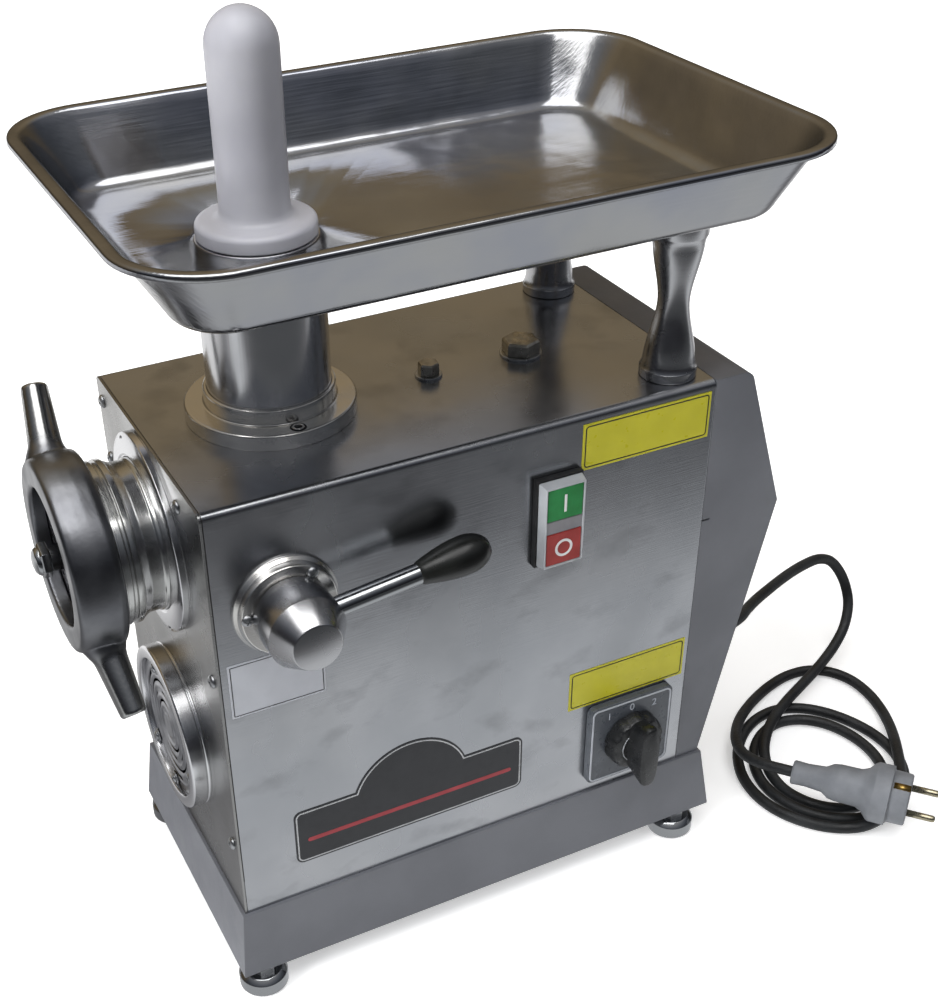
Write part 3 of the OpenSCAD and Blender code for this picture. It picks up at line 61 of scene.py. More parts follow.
# ------------
# The power cord: one black rubber flex of 8 mm, clamped in a gland on the motor cover. It arches
# out behind the machine, drops to the worktop and lies there in three loose turns. Its route was
# traced and then eased, so that no bend is under 4 diameters.
MM = 0.001
mid_x, mid_d = 149.1, 89
cord_d = 8
gland_face, gland_length, gland_slope = (340.85, 48, 120), 26, math.radians(11.66)
gland_tip = (gland_face[0] + gland_length * math.cos(gland_slope), gland_face[1],
             gland_face[2] - gland_length * math.sin(gland_slope))
plug_rear = (402, -18, 29.7)
cord_route = [
    (403.1, 62.2, 109.9), (419.5, 73, 106.5), (436.4, 83.3, 103.4), (454.1, 92.2, 101),
    (472, 100.7, 98.7), (490.2, 108.7, 96.1), (508.5, 115.9, 92.8), (526.7, 122.3, 88),
    (542.2, 125.6, 79.8), (552, 124, 68.4), (556.8, 118.9, 55.5), (556, 111.3, 41.7),
    (546.8, 102.3, 28.9), (531.7, 93.8, 20.7), (514.3, 85.6, 16.4), (496.1, 77.7, 14.2),
    (477.8, 69.7, 13.3), (459.7, 61.3, 13), (442.4, 51.5, 12.9), (426.5, 39.8, 12.3),
    (413.6, 25.5, 10.3), (405.9, 8.5, 7.2), (405.2, -10, 5), (411.7, -27.6, 4.4),
    (424.4, -41.2, 4.3), (441.4, -47.7, 4.3), (459.5, -45.5, 4.3), (474.9, -35.3, 4.3),
    (484.9, -19.4, 4.3), (488.5, -0.7, 4.3), (486.1, 18.4, 4.3), (478.1, 35.8, 4.3),
    (464.6, 47.9, 4.3), (447.6, 52.3, 4.3), (429.7, 47.8, 4.3), (414.2, 36.7, 4.3),
    (402.5, 21.3, 4.3), (396.2, 3.3, 4.3), (396.6, -15.7, 4.3), (403.5, -33.4, 4.3),
    (416, -47.9, 4.3), (432.5, -57.2, 4.3), (451.1, -59.5, 4.3), (469.5, -54.8, 4.3),
    (485.4, -44.2, 4.3), (497, -29, 4.3), (502.8, -10.8, 4.3), (502.7, 8.5, 4.3),
    (497.4, 27.3, 4.3), (487.9, 44.4, 4.3), (474.4, 57.9, 4.3), (457.4, 65.1, 4.3),
    (438.8, 64.3, 4.3), (421.1, 56.9, 4.3), (405.8, 44.8, 4.3), (393.9, 29.3, 4.3),
    (386.4, 11.4, 4.3), (384.4, -7.8, 4.3), (388.4, -26.5, 4.3), (398, -43.3, 4.3),
    (411.7, -57, 4.6), (427.6, -66.9, 7.1), (443.6, -69.6, 12.4), (459.1, -64.6, 17),
    (473, -52, 18.6), (485.2, -36.5, 17.8), (496.9, -20.6, 15.1), (508.3, -4.7, 11.2),
    (518.5, 11.9, 7.6), (526.5, 29.8, 5.4), (531.1, 48.8, 4.5), (530.5, 67.9, 4.3),
    (522.5, 83.9, 4.3), (508.2, 93.7, 4.3), (489.9, 95.8, 4.3), (470.9, 91.6, 4.8),
    (452.6, 84, 6.3), (435.4, 74.4, 8.7), (419.5, 63, 12), (405.4, 49.6, 15.9),
    (394, 34.2, 20), (387.7, 17.1, 24.2), (389.9, 0.1, 27.9), (399.8, -15.5, 29.7)]


def at(x, y, z):
    """A place in metres of the model's frame: x from the left end, y from the front, z from the floor."""
    return Vector(((x - mid_x) * MM, (y - mid_d) * MM, z * MM))


def smooth_path(points, parts):
    """Points on a smooth curve through the given ones."""
    path = []
    for i in range(len(points) - 1):
        p0, p1, p2, p3 = (points[min(max(k, 0), len(points) - 1)] for k in range(i - 1, i + 3))
        for t in (k / parts for k in range(parts)):
            path.append(0.5 * (2 * p1 + (p2 - p0) * t + (2 * p0 - 5 * p1 + 4 * p2 - p3) * t * t
                               + (3 * p1 - p0 - 3 * p2 + p3) * t ** 3))
    return path + [points[-1]]


def spoke(radius, part, whole=360):
    """The two legs of a radius that has turned by a part of the whole circle."""
    turn = 2 * math.pi * part / whole
    return radius * math.cos(turn), radius * math.sin(turn)


def new_object(name, data):
    """An object at the origin, in the scene."""
    obj = bpy.data.objects.new(name, data)
    bpy.context.scene.collection.objects.link(obj)
    return obj


def finished(name, mesh):
    """An object from a bmesh, which is freed."""
    data = bpy.data.meshes.new(name)
    mesh.to_mesh(data)
    mesh.free()
    return new_object(name, data)


def tube(name, path, radius, sides=16):
    """A round tube along a path, with closed ends and a UV map along its length."""
    mesh = bmesh.new()
    uv = mesh.loops.layers.uv.new("along")
    side = Vector((0, 0, 1)).cross(path[1] - path[0]).normalized()
    rings, lengths, travelled = [], [], 0.0
    for i, point in enumerate(path):
        direction = (path[min(i + 1, len(path) - 1)] - path[max(i - 1, 0)]).normalized()
        side = (side - direction * side.dot(direction)).normalized()
        over = direction.cross(side)
        travelled += (point - path[max(i - 1, 0)]).length
        lengths.append(travelled)
        legs = [spoke(radius, k, sides) for k in range(sides)]
        rings.append([mesh.verts.new(point + side * a + over * b) for a, b in legs])
    for i in range(len(path) - 1):
        for k in range(sides):
            n = (k + 1) % sides
            face = mesh.faces.new((rings[i][k], rings[i][n], rings[i + 1][n], rings[i + 1][k]))
            face.smooth = True
            for loop, (row, column) in zip(face.loops, ((i, k), (i, k + 1), (i + 1, k + 1), (i + 1, k))):
                loop[uv].uv = (lengths[row], column / sides)
    mesh.faces.new(list(reversed(rings[0])))
    mesh.faces.new(rings[-1])
    return finished(name, mesh)


def colour(hex_code):
    """A linear colour from an sRGB hex code."""
    parts = [int(hex_code[i:i + 2], 16) / 255 for i in (1, 3, 5)]
    return [p / 12.92 if p <= 0.04045 else ((p + 0.055) / 1.055) ** 2.4 for p in parts] + [1.0]


def add(tree, kind, inputs=None, stops=(), **settings):
    """Adds a node. An input is a value, a socket, or a node whose first output is linked; a colour
    ramp's stops are pairs of a position and a hex colour, from the lowest up."""
    made = tree.nodes.new(kind)
    for key, value in settings.items():
        setattr(made, key, value)
    for number, (position, shade) in enumerate(stops):
        elements = made.color_ramp.elements
        element = elements[number] if number < 2 else elements.new(position)
        element.position = position
        element.color = colour(shade)
    for key, value in (inputs or {}).items():
        if isinstance(value, bpy.types.Node):
            value = value.outputs[0]
        if isinstance(value, bpy.types.NodeSocket):
            tree.links.new(value, made.inputs[key])
        else:
            made.inputs[key].default_value = value
    return made


def mottle(tree, low, high, scale, detail=3.0, stretch=(1, 1, 1), turn=(0, 0, 0)):
    """Noise in object space between two values or two hex colours."""
    place = add(tree, "ShaderNodeTexCoord").outputs["Object"]
    mapping = add(tree, "ShaderNodeMapping", {"Vector": place, "Scale": stretch, "Rotation": turn})
    noise = add(tree, "ShaderNodeTexNoise", {"Vector": mapping, "Scale": scale, "Detail": detail})
    if isinstance(low, str):
        ramp = add(tree, "ShaderNodeValToRGB", {"Fac": noise}, ((0.32, low), (0.68, high)))
        ramp.color_ramp.interpolation = "EASE"
        return ramp
    return add(tree, "ShaderNodeMapRange", {"Value": noise, "From Min": 0.3, "From Max": 0.7,
                                            "To Min": low, "To Max": high})


def relieve(tree, shader, height, depth, edge):
    """Gives a shader a relief of the depth, over sharp edges rounded by the edge, in millimetres."""
    inputs = {"Height": height, "Distance": depth * MM, "Strength": 1.0}
    if edge:
        inputs["Normal"] = add(tree, "ShaderNodeBevel", {"Radius": edge * MM}, samples=4)
    tree.links.new(add(tree, "ShaderNodeBump", inputs).outputs["Normal"], shader.inputs["Normal"])


def nodes_of(material):
    """A material's node tree and its shader."""
    return material.node_tree, material.node_tree.nodes["Principled BSDF"]


def finish(name, metallic, shade, rough, relief=None, depth=0, edge=0, more=None):
    """A material. Its shade and its roughness are one value each, or what mottle needs for two; its
    relief is a mottle's scale, detail and stretch; more holds values for the shader's other sockets."""
    made = bpy.data.materials.new(name)
    made.use_nodes = True
    tree, shader = nodes_of(made)
    values = {"Metallic": metallic, "Base Color": shade, "Roughness": rough, **(more or {})}
    for socket, value in values.items():
        if isinstance(value, tuple) and socket in ("Base Color", "Roughness"):
            tree.links.new(mottle(tree, *value).outputs[0], shader.inputs[socket])
        else:
            shader.inputs[socket].default_value = colour(value) if isinstance(value, str) else value
    if relief:
        relieve(tree, shader, mottle(tree, 0, 1, *relief), depth, edge)
    return made


def settle(piece, material, body, slot, *nodes):
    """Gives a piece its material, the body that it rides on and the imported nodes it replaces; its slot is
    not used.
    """
    if material:
        piece.data.materials.append(material)
    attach(piece, body)
    if nodes:
        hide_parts(*nodes)
    return piece


# Vulcanised rubber: near black and dull, with dust that greys it in places.
rubber = finish("vulcanised rubber sheath", 0, ("#141516", "#26282a", 45), (0.42, 0.62, 90), (700,), 0.12)
path = smooth_path([at(*point) for point in (gland_tip, *cord_route, plug_rear)], 4)
flex = tube("power_flex", path, cord_d / 2 * MM)
settle(flex, rubber, "housing", "black_rubber", "power_cord", "cord_coil", "cord_tail")

# ------------
# The mains plug: a straight two-pin plug moulded in grey PVC, with a ribbed grip, a round collar
# that carries the side earth contacts, and two nickelled brass pins.
plug_turn, plug_roll = math.radians(-49), math.radians(25)
plug_length, collar_r, pin_spacing = 80, 21, 19
earth_at, earth_r = 74, 18.2
earth_size = (11.4, 4.5, 0.8)


def skin(mesh, loops):
    """Faces between each loop of points and the next one; a loop may be a single point."""
    for low, high in zip(loops, loops[1:]):
        count = max(len(low), len(high))
        for k in range(count):
            n = (k + 1) % count
            corners = dict.fromkeys((low[k % len(low)], low[n % len(low)],
                                     high[n % len(high)], high[k % len(high)]))
            if len(corners) > 2:
                mesh.faces.new(list(corners))


def turned(name, outline, centre, aim=(0, 0, 1), steps=128, start=0.0):
    """A revolved solid: outline holds (radius, height) in millimetres and aim is its axis."""
    mesh = bmesh.new()
    skin(mesh, [[mesh.verts.new((*spoke(radius * MM, k, steps), height * MM))
                 for k in range(steps if radius else 1)] for radius, height in outline])
    bmesh.ops.remove_doubles(mesh, verts=mesh.verts, dist=1e-7)
    turn = Vector((0, 0, 1)).rotation_difference(Vector(aim).normalized()).to_matrix().to_4x4()
    bmesh.ops.transform(mesh, matrix=Matrix.Translation(centre) @ turn @ Matrix.Rotation(start, 4, "Z"),
                        verts=mesh.verts)
    bmesh.ops.recalc_face_normals(mesh, faces=mesh.faces)
    return finished(name, mesh)


def cuboid(name, matrix):
    """A unit cube, sized, turned and placed by the matrix."""
    mesh = bmesh.new()
    bmesh.ops.create_cube(mesh, size=1)
    bmesh.ops.transform(mesh, matrix=matrix, verts=mesh.verts)
    return finished(name, mesh)


def smooth(obj):
    """Smooth shading on every face."""
    for face in obj.data.polygons:
        face.use_smooth = True
    return obj


def soften(obj, width=0.4, angle=32, segments=2):
    """Smooth shading with a small bevel on every edge sharper than the angle."""
    made = smooth(obj).modifiers.new("edges", "BEVEL")
    made.width = width * MM
    made.segments = segments
    made.limit_method = "ANGLE"
    made.angle_limit = math.radians(angle)
    made.harden_normals = True
    return obj


def baked(obj):
    """The mesh that an object's modifiers make."""
    return bpy.data.meshes.new_from_object(obj.evaluated_get(bpy.context.evaluated_depsgraph_get()))


def join(name, parts):
    """Joins parts into one smooth object without a material, and removes them."""
    mesh = bmesh.new()
    for part in parts:
        mesh.from_mesh(baked(part))
        bpy.data.objects.remove(part)
    return smooth(finished(name, mesh))


# Moulded PVC, mid grey: a low even sheen over a fine spark texture.
pvc = finish("moulded grey PVC", 0, ("#6c6f74", "#7a7d82", 60), 0.48, (1500,), 0.05)
plug_aim = Vector((math.cos(plug_turn), math.sin(plug_turn), 0))
plug_body = turned("plug_body", [
    (0, 0), (7.5, 0), (8.6, 1), (8.2, 10), (9.2, 22), (12.4, 27), (13.2, 32), (13.4, 46), (15.5, 50.5),
    (collar_r - 1.4, 54), (collar_r, 56), (collar_r, 67), (collar_r - 2.6, 67.3),
    (collar_r - 2.8, plug_length - 1), (collar_r - 3.8, plug_length), (0, plug_length)],
    at(*plug_rear), plug_aim, 64)
settle(soften(plug_body, 0.5), pvc, "housing", "grey_plastic", "mains_plug")

# Nickelled brass pins, bright and pale, and earth contacts of bare yellow brass strip.
pin_metal = finish("nickelled brass", 1, "#b0a890", (0.18, 0.36, 300))
earth_metal = finish("rolled brass strip", 1, ("#8a6d38", "#b99a58", 200), 0.32)
level_side = Vector((-plug_aim.y, plug_aim.x, 0))
across = level_side * math.cos(plug_roll) + Vector((0, 0, 1)) * math.sin(plug_roll)
over = Vector((0, 0, 1)) * math.cos(plug_roll) - level_side * math.sin(plug_roll)
pins, earths = [], []
for side in (-1, 1):
    foot = at(*plug_rear) + (plug_aim * plug_length + across * side * pin_spacing / 2) * MM
    pins.append(turned("pin", [(0, -1), (2.4, -1), (2.4, 17), (1.9, 18.5), (0, 19)], foot, plug_aim, 24))
    foot = at(*plug_rear) + (plug_aim * earth_at + over * side * earth_r) * MM
    turn = Matrix((plug_aim, across, over)).transposed().to_4x4()
    size = Matrix.Diagonal((*(Vector(earth_size) * MM), 1))
    earths.append(cuboid("strip", Matrix.Translation(foot) @ turn @ size))
plug_pins = settle(join("plug_contacts", pins), pin_metal, "housing", "brass", "plug_pins")
plug_earth = settle(join("plug_earth_strips", earths), earth_metal, "housing", "brass")

# The gland: a hexagon foot, a domed nut and a tapered sleeve, all in black nylon and rubber.
gland_aim = Vector((math.cos(gland_slope), 0, -math.sin(gland_slope)))
gland = turned("cord_gland", [
    (0, 0), (12, 0), (12.4, 1), (12.4, 4), (11, 4.3), (11, 10), (9.4, 12), (8, 12.4), (7.2, 18),
    (cord_d / 2 + 1.5, gland_length), (0, gland_length)], at(*gland_face), gland_aim, 48)
settle(soften(gland, 0.3), rubber, "housing", "black_rubber", "cable_gland")

# ------------
# The base: a flared skirt folded from sheet steel and sprayed with grey enamel. The motor cover
# on the right is made the same way, with one crease across its slanted face.


def dress(material, *nodes):
    """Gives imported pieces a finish."""
    for node in nodes:
        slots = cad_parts[node].data.materials
        slots.clear()
        slots.append(material)


# Sprayed enamel over steel: satin, with an orange peel of about 2 mm and a few darker scuffs.
enamel = finish("sprayed grey enamel", 0, ("#606268", "#6b6d73", 14, 5), (0.32, 0.46, 40), (420, 1.0), 0.02,
                1.2, {"Coat Weight": 0.15, "Coat Roughness": 0.2})
dress(enamel, "base_skirt", "motor_cover", "motor_frame")

# ------------
# The feet: four chromed cups on threaded studs, each with a nut against the skirt's lip.
foot_places = [(8, 2), (8, 176), (314.5, 2), (314.5, 176)]
cup_outline = [(0, 0), (14, 0), (15.5, 1.5), (15.5, 9.6), (15.1, 10.2), (12.6, 12.6), (12, 13), (5, 13),
               (4.6, 11.5), (0, 11.5)]
# Chromium plate: the brightest metal here, with faint wear.
chrome = finish("chromium plate", 1, "#a4a6a8", (0.07, 0.2, 260, 2), (900,), 0.004)
cups = [turned("cup", cup_outline, at(x, y, 0), steps=64) for x, y in foot_places]
settle(soften(join("foot_cups_chromed", cups), 0.35), chrome, "housing", "polished_steel", "foot_cups")

# Zinc plate on the hardware: bright, bluish and slightly cloudy.
zinc = finish("bright zinc plate", 1, ("#a4a6a8", "#c0c2c4", 120, 4), (0.22, 0.42, 200), (800,), 0.01, 0.3)
dress(zinc, "foot_studs", "chassis_plate", "inner_frame")

# ------------
# The housing: one satin stainless sheet bent round the front, the top and the back, and a flat
# end plate on the left that shows a dark joint line. Hands have left cloudy smudges on it.
lengthwise = (40, 40, 2600)
# Satin stainless: soft long reflections, broken by slow waves of the sheet and by greasy smears.
satin_sheet = finish("satin stainless sheet", 1, "#a8a8aa", (0.17, 0.33, 16, 4, (1, 1, 0.55)))
tree, shader = nodes_of(satin_sheet)
smears = add(tree, "ShaderNodeMapRange", {"Value": mottle(tree, 0, 1, 24, 5, (1, 1, 1.5), (0, 0.6, 0)),
                                          "From Min": 0.62, "From Max": 1.0, "To Max": 0.5})
greased = add(tree, "ShaderNodeMix", {"Factor": smears, 6: mottle(tree, "#abadb1", "#bcbdc0", 9, 5),
                                      7: colour("#8c8d90")}, data_type="RGBA")
tree.links.new(greased.outputs[2], shader.inputs["Base Color"])
uneven = add(tree, "ShaderNodeMix", {"Factor": 0.75, "A": mottle(tree, 0, 1, 1, 2, lengthwise),
                                     "B": mottle(tree, 0, 1, 7, 1)})
relieve(tree, shader, uneven, 0.06, 0.8)
dress(satin_sheet, "body_shell")

# The end plate is brushed along its width: duller and darker than the satin sheet, with level grain.
end_sheet = finish("brushed stainless end plate", 1, ("#92918f", "#a5a5a4", 11, 4), (0.2, 0.34, 18, 4),
                   (1, 2, lengthwise), 0.04, 0.6)
dress(end_sheet, "left_end_plate")


def rectangle(x_low, z_low, x_high, z_high, inset=0, r=0, steps=8):
    """Points of an upright rectangle, drawn in by the inset, with round corners where it has a radius."""
    x_low, z_low, x_high, z_high = x_low + inset, z_low + inset, x_high - inset, z_high - inset
    points = []
    for number, (cx, cz) in enumerate(((x_high - r, z_high - r), (x_low + r, z_high - r),
                                       (x_low + r, z_low + r), (x_high - r, z_low + r))):
        for k in range(steps + 1 if r else 1):
            dx, dz = spoke(r, number * steps + k, 4 * steps)
            points.append((cx + dx, cz + dz))
    return points


def lofted(name, loops):
    """A closed solid through loops of places, flat at both ends."""
    mesh = bmesh.new()
    loops = [[mesh.verts.new(place) for place in loop] for loop in loops]
    skin(mesh, loops)
    mesh.faces.new(loops[0])
    mesh.faces.new(loops[-1])
    bmesh.ops.recalc_face_normals(mesh, faces=mesh.faces)
    return finished(name, mesh)


def plate(name, outline, back_y, front_y):
    """A flat piece with the given upright outline."""
    return lofted(name, [[at(x, y, z) for x, z in outline] for y in (front_y, back_y)])


# The joint shows as a thin dark line.
joint = plate("sheet_joint", rectangle(1.5, 92, 2.0, 347.4), 0, -0.05)
settle(joint, finish("shadowed joint", 0, "#151515", 0.7), "housing", "black_rubber")

# Pan head screws with a cross recess hold the end plate, the cover and the vent's guard. They are
# pressed from wire and zinc plated.
vent_z, lock_x, lock_z = 151, 42, 283
outwards, forward = Vector((-1, 0, 0)), Vector((0, -1, 0))
screw_places = [(at(0, y, z), outwards, 4)
                for y, z in ((170, 335), (170, 297), (37, 335), (9, 239), (9, 117), (170, 89))]
screw_places += [(at(320, 178, z), -forward, 4) for z in (90, 304)]
vent_clips = [spoke(ring, angle) for angle, ring in ((75, 40), (195, 41), (-92, 41), (-45, 40))]
screw_places += [(at(-10.1, mid_d + y, vent_z + z), outwards, 3.2) for y, z in vent_clips]
screw_places += [(at(lock_x + x, -8, lock_z + z), forward, 3.4)
                 for x, z in (spoke(24.5, angle) for angle in (56, 176, 296))]

# One head of radius 1 metre, with a cross recess, which stands on the origin along Z.
head = turned("head", [(0, -0.1), (1000, -0.1), (1000, 130), (930, 260), (780, 420), (560, 530), (300, 580),
                       (0, 600)], (0, 0, 0), steps=48)
for angle in (0, 90):
    cutter = cuboid("slot", Matrix.Rotation(math.radians(angle), 4, "Z") @ Matrix.Translation((0, 0, 0.55))
                    @ Matrix.Diagonal((1.15, 0.24, 0.5, 1)))
    cut = head.modifiers.new("cut", "BOOLEAN")
    cut.object = cutter
    cut.operation = "DIFFERENCE"
    cut.solver = "EXACT"
    done = baked(head)
    head.modifiers.clear()
    head.data = done
    bpy.data.objects.remove(cutter)

# Geometry Nodes put one head on every point, along the point's aim and at its size.
data = bpy.data.meshes.new("pan_screws")
data.from_pydata([place for place, aim, size in screw_places], [], [])
data.attributes.new("aim", "FLOAT_VECTOR", "POINT")
data.attributes.new("size", "FLOAT", "POINT")
for i, (place, aim, size) in enumerate(screw_places):
    data.attributes["aim"].data[i].vector = aim
    data.attributes["size"].data[i].value = size * MM
points = new_object("pan_screws", data)
tree = bpy.data.node_groups.new("screws on points", "GeometryNodeTree")
tree.interface.new_socket("Geometry", in_out="INPUT", socket_type="NodeSocketGeometry")
size_input = tree.interface.new_socket("Size factor", in_out="INPUT", socket_type="NodeSocketFloat")
turn_input = tree.interface.new_socket("Turn between screws", in_out="INPUT", socket_type="NodeSocketFloat")
tree.interface.new_socket("Geometry", in_out="OUTPUT", socket_type="NodeSocketGeometry")
entry = add(tree, "NodeGroupInput").outputs
source = add(tree, "GeometryNodeObjectInfo", {"Object": head}).outputs["Geometry"]
aim = add(tree, "GeometryNodeInputNamedAttribute", {"Name": "aim"}, data_type="FLOAT_VECTOR")
size = add(tree, "GeometryNodeInputNamedAttribute", {"Name": "size"}, data_type="FLOAT")
scale = add(tree, "ShaderNodeMath", {0: size, 1: entry["Size factor"]}, operation="MULTIPLY")
turn = add(tree, "ShaderNodeMath", {0: add(tree, "GeometryNodeInputIndex"), 1: entry["Turn between screws"]},
           operation="MULTIPLY")
aligned = add(tree, "FunctionNodeAlignRotationToVector", {"Vector": aim}, axis="Z")
spin = add(tree, "ShaderNodeCombineXYZ", {"Z": turn})
rotated = add(tree, "FunctionNodeRotateRotation", {"Rotation": aligned, "Rotate By": spin},
              rotation_space="LOCAL")
placed = add(tree, "GeometryNodeInstanceOnPoints", {"Points": entry["Geometry"], "Instance": source,
                                                    "Rotation": rotated, "Scale": scale})
real = add(tree, "GeometryNodeRealizeInstances", {"Geometry": placed})
painted = add(tree, "GeometryNodeSetMaterial", {"Geometry": real, "Material": zinc})
add(tree, "NodeGroupOutput", {"Geometry": painted})
modifier = points.modifiers.new("screws", "NODES")
modifier.node_group = tree
modifier[size_input.identifier] = 1.0
modifier[turn_input.identifier] = 0.7
plain = baked(points)
for helper in (points, head):
    bpy.data.objects.remove(helper)
screws = soften(new_object("pan_screws", plain), 0.12)
settle(screws, None, "housing", "zinc", "housing_screws", "trim_screws")

# ------------
# The neck: a turned flange with a collar on the top sheet, held by two hexagon socket screws, and
# the polished tube that carries the meat down to the auger.
neck_x, neck_r, throat_r, screw_r = 75, 34.5, 27, 42.2
body_top, tray_z = 349, 450
# Turned and polished: bright, with fine rings left by the tool.
turned_steel = finish("turned and polished stainless", 1, "#dedcd8", (0.14, 0.28, 60, 3),
                      (1, 2, (30, 30, 1800)), 0.01)
neck_flange = turned("neck_flange_turned", [(34.6, 0), (48, 0), (48, 8.2), (47.2, 9), (37.6, 9), (36.9, 9.6),
                                            (36.8, 17.2), (36, 18), (34.6, 18), (34.6, 0)],
                     at(neck_x, mid_d, body_top))
settle(soften(neck_flange), turned_steel, "housing", "polished_steel", "neck_flange")

# Blackened steel for the sockets and the head's set screws: dark, with a dull glint.
black_steel = finish("blackened steel", 1, "#35363a", (0.28, 0.45, 300))
dress(black_steel, "head_set_screws")
heads, sockets = [], []
for x, y in (spoke(screw_r, angle) for angle in (-91, 89)):
    spot = at(neck_x + x, mid_d + y, body_top + 9)
    heads.append(turned("head", [(2.1, -0.4), (3.4, -0.4), (3.4, 0.5), (3.1, 0.7), (2.3, 0.7), (2.1, 0.5),
                                 (2.1, -0.4)], spot, steps=32))
    sockets.append(turned("socket", [(0, -0.2), (2.2, -0.2), (2.2, 0.3), (0, 0.3)], spot, steps=6))
    sockets.append(turned("sink", [(3.3, -0.2), (4.6, -0.2), (4.6, 0.08), (3.3, 0.08), (3.3, -0.2)], spot,
                          steps=32))
settle(join("neck_screw_heads", heads), turned_steel, "housing", "polished_steel")
settle(join("neck_screw_sockets", sockets), black_steel, "housing", "zinc")

# Drawn tube, polished lengthwise: upright streaks of light.
tube_steel = finish("drawn and polished stainless tube", 1, "#d0d0d2", (0.14, 0.26, 50, 3),
                    (1, 2, (700, 700, 14)), 0.012)
throat = turned("throat_tube_polished", [
    (throat_r, 330), (neck_r, 330), (neck_r, tray_z - 1.2), (32.7, tray_z - 1.2), (32.7, tray_z + 1),
    (throat_r, tray_z + 1), (throat_r, 330)], at(neck_x, mid_d, 0))
settle(soften(throat, 0.3), tube_steel, "housing", "polished_steel", "throat_tube")

# ------------
# The pillars: two waisted steel turnings, polished bright, that carry the tray's right end.
pillar_places = [(293, 22), (293, 156)]
pillar_h, waist_r = tray_z - 1.2 - body_top, 9
pillar_outline = [(0, 0), (16.1, 0), (16.5, 0.4), (16.5, 5.2), (15.9, 6)]
for t in (k / 25 for k in range(1, 25)):
    swell = (6.1 if t < 0.5 else 5.6) * abs(math.cos(math.pi * t)) ** 1.8
    pillar_outline.append((waist_r + swell, 6 + t * (pillar_h - 22)))
pillar_outline += [(15.5, pillar_h - 16), (16, pillar_h - 15.2), (16, pillar_h - 0.5), (15.5, pillar_h),
                   (0, pillar_h)]
# Fine turning, not buffed: bright, with a soft edge to each reflection.
mirror_steel = finish("fine turned stainless", 1, "#bcbcbe", (0.2, 0.3, 70, 3), (1, 2, (25, 25, 900)), 0.006)
pillars = join("tray_pillars_polished",
               [turned("pillar", pillar_outline, at(x, y, body_top), steps=96) for x, y in pillar_places])
settle(soften(pillars, 0.3), mirror_steel, "housing", "polished_steel", "tray_pillars")

# ------------
# The feed tray: pressed from one stainless sheet and polished. Its floor runs into the sloping
# walls through a soft radius, the rim is flat with its edge turned down, and one hole is over the
# throat. Each level is (more length, more width, corner radius, height).
tray_x, tray_half_x, tray_half_y, hole_r = 167, 165.4, 109.4, 33.2
tray_levels = [(-9, -9, 18, tray_z)]
for a in (k / 8 * math.radians(62) for k in range(1, 9)):
    tray_levels.append((-9 + 11.5 * math.sin(a), -9 + 10.5 * math.sin(a), 18 + 11 * math.sin(a),
                        tray_z + 9.5 * (1 - math.cos(a))))
for t in (k / 12 for k in range(1, 12)):
    tray_levels.append((1.2 + 19.3 * t, 0.3 + 15.6 * t, 28 + 12 * t, tray_z + 5.2 + 33 * t))
tray_levels += [(21.2, 16.4, 40.6, 489.3), (22, 17.2, 41.5, 490.3), (23.2, 18.4, 42.8, 490.9),
                (24.4, 19.6, 44, 491), (27, 22.2, 46.6, 491), (28, 23.2, 47.6, 490.8),
                (28.6, 23.8, 48.3, 490.3), (28.9, 24.1, 48.7, 489.4), (29, 24.2, 48.8, 487.5)]


def tray_ring(more_x, more_y, r, z, corner=14, long_side=16, short_side=12):
    """One level line of the tray: a rectangle with round corners and points along its sides."""
    half_x, half_y = tray_half_x + more_x - r, tray_half_y + more_y - r
    sides = ((1, 1), (-1, 1), (-1, -1), (1, -1), (1, 1))
    points = []
    for number, (sx, sy) in enumerate(sides[:4]):
        for k in range(corner):
            dx, dy = spoke(r, number * corner + k, 4 * corner)
            points.append((sx * half_x + dx, sy * half_y + dy))
        dx, dy = spoke(r, number + 1, 4)
        nx, ny = sides[number + 1]
        steps = short_side if number % 2 else long_side
        for t in (k / steps for k in range(steps)):
            points.append(((sx + (nx - sx) * t) * half_x + dx, (sy + (ny - sy) * t) * half_y + dy))
    return [at(tray_x + x, mid_d + y, z) for x, y in points]


def pressed(name, mesh, facing, gauge):
    """Smooth sheet metal from an open bmesh whose faces look one way; its gauge grows behind them."""
    bmesh.ops.recalc_face_normals(mesh, faces=mesh.faces)
    if sum(face.normal.dot(Vector(facing)) for face in mesh.faces) < 0:
        bmesh.ops.reverse_faces(mesh, faces=mesh.faces)
    sheet = smooth(finished(name, mesh))
    wall = sheet.modifiers.new("sheet", "SOLIDIFY")
    wall.thickness = gauge * MM
    wall.offset = -1
    return sheet


mesh = bmesh.new()
rings = [[mesh.verts.new(place) for place in tray_ring(*tray_level)] for tray_level in tray_levels]
skin(mesh, rings)
hole = [mesh.verts.new(at(neck_x + x, mid_d + y, tray_z))
        for x, y in (spoke(hole_r, k, 72) for k in range(72))]
edges = [mesh.edges.new(pair) for pair in zip(hole, hole[1:] + hole[:1])]
edges += [mesh.edges.get(pair) for pair in zip(rings[0], rings[0][1:] + rings[0][:1])]
bmesh.ops.triangle_fill(mesh, edges=edges, use_beauty=True)
tray = pressed("feed_tray_pressed", mesh, (0, 0, 1), 1.2)

# Pressed and buffed sheet: nearly a mirror, with slow waves left by the press, fine polishing
# lines and faint hazy patches.
tray_steel = finish("pressed and buffed stainless", 1, ("#9698a0", "#a6a6a6", 12, 4), (0.09, 0.22, 12, 5))
tree, shader = nodes_of(tray_steel)
uneven = add(tree, "ShaderNodeMix", {"Factor": 0.06, "A": mottle(tree, 0, 1, 26, 1.5),
                                     "B": mottle(tree, 0, 1, 1, 2, (20, 900, 300))})
relieve(tree, shader, uneven, 0.6, 0)
settle(tray, tray_steel, "tray_body", "polished_steel", "feed_tray")

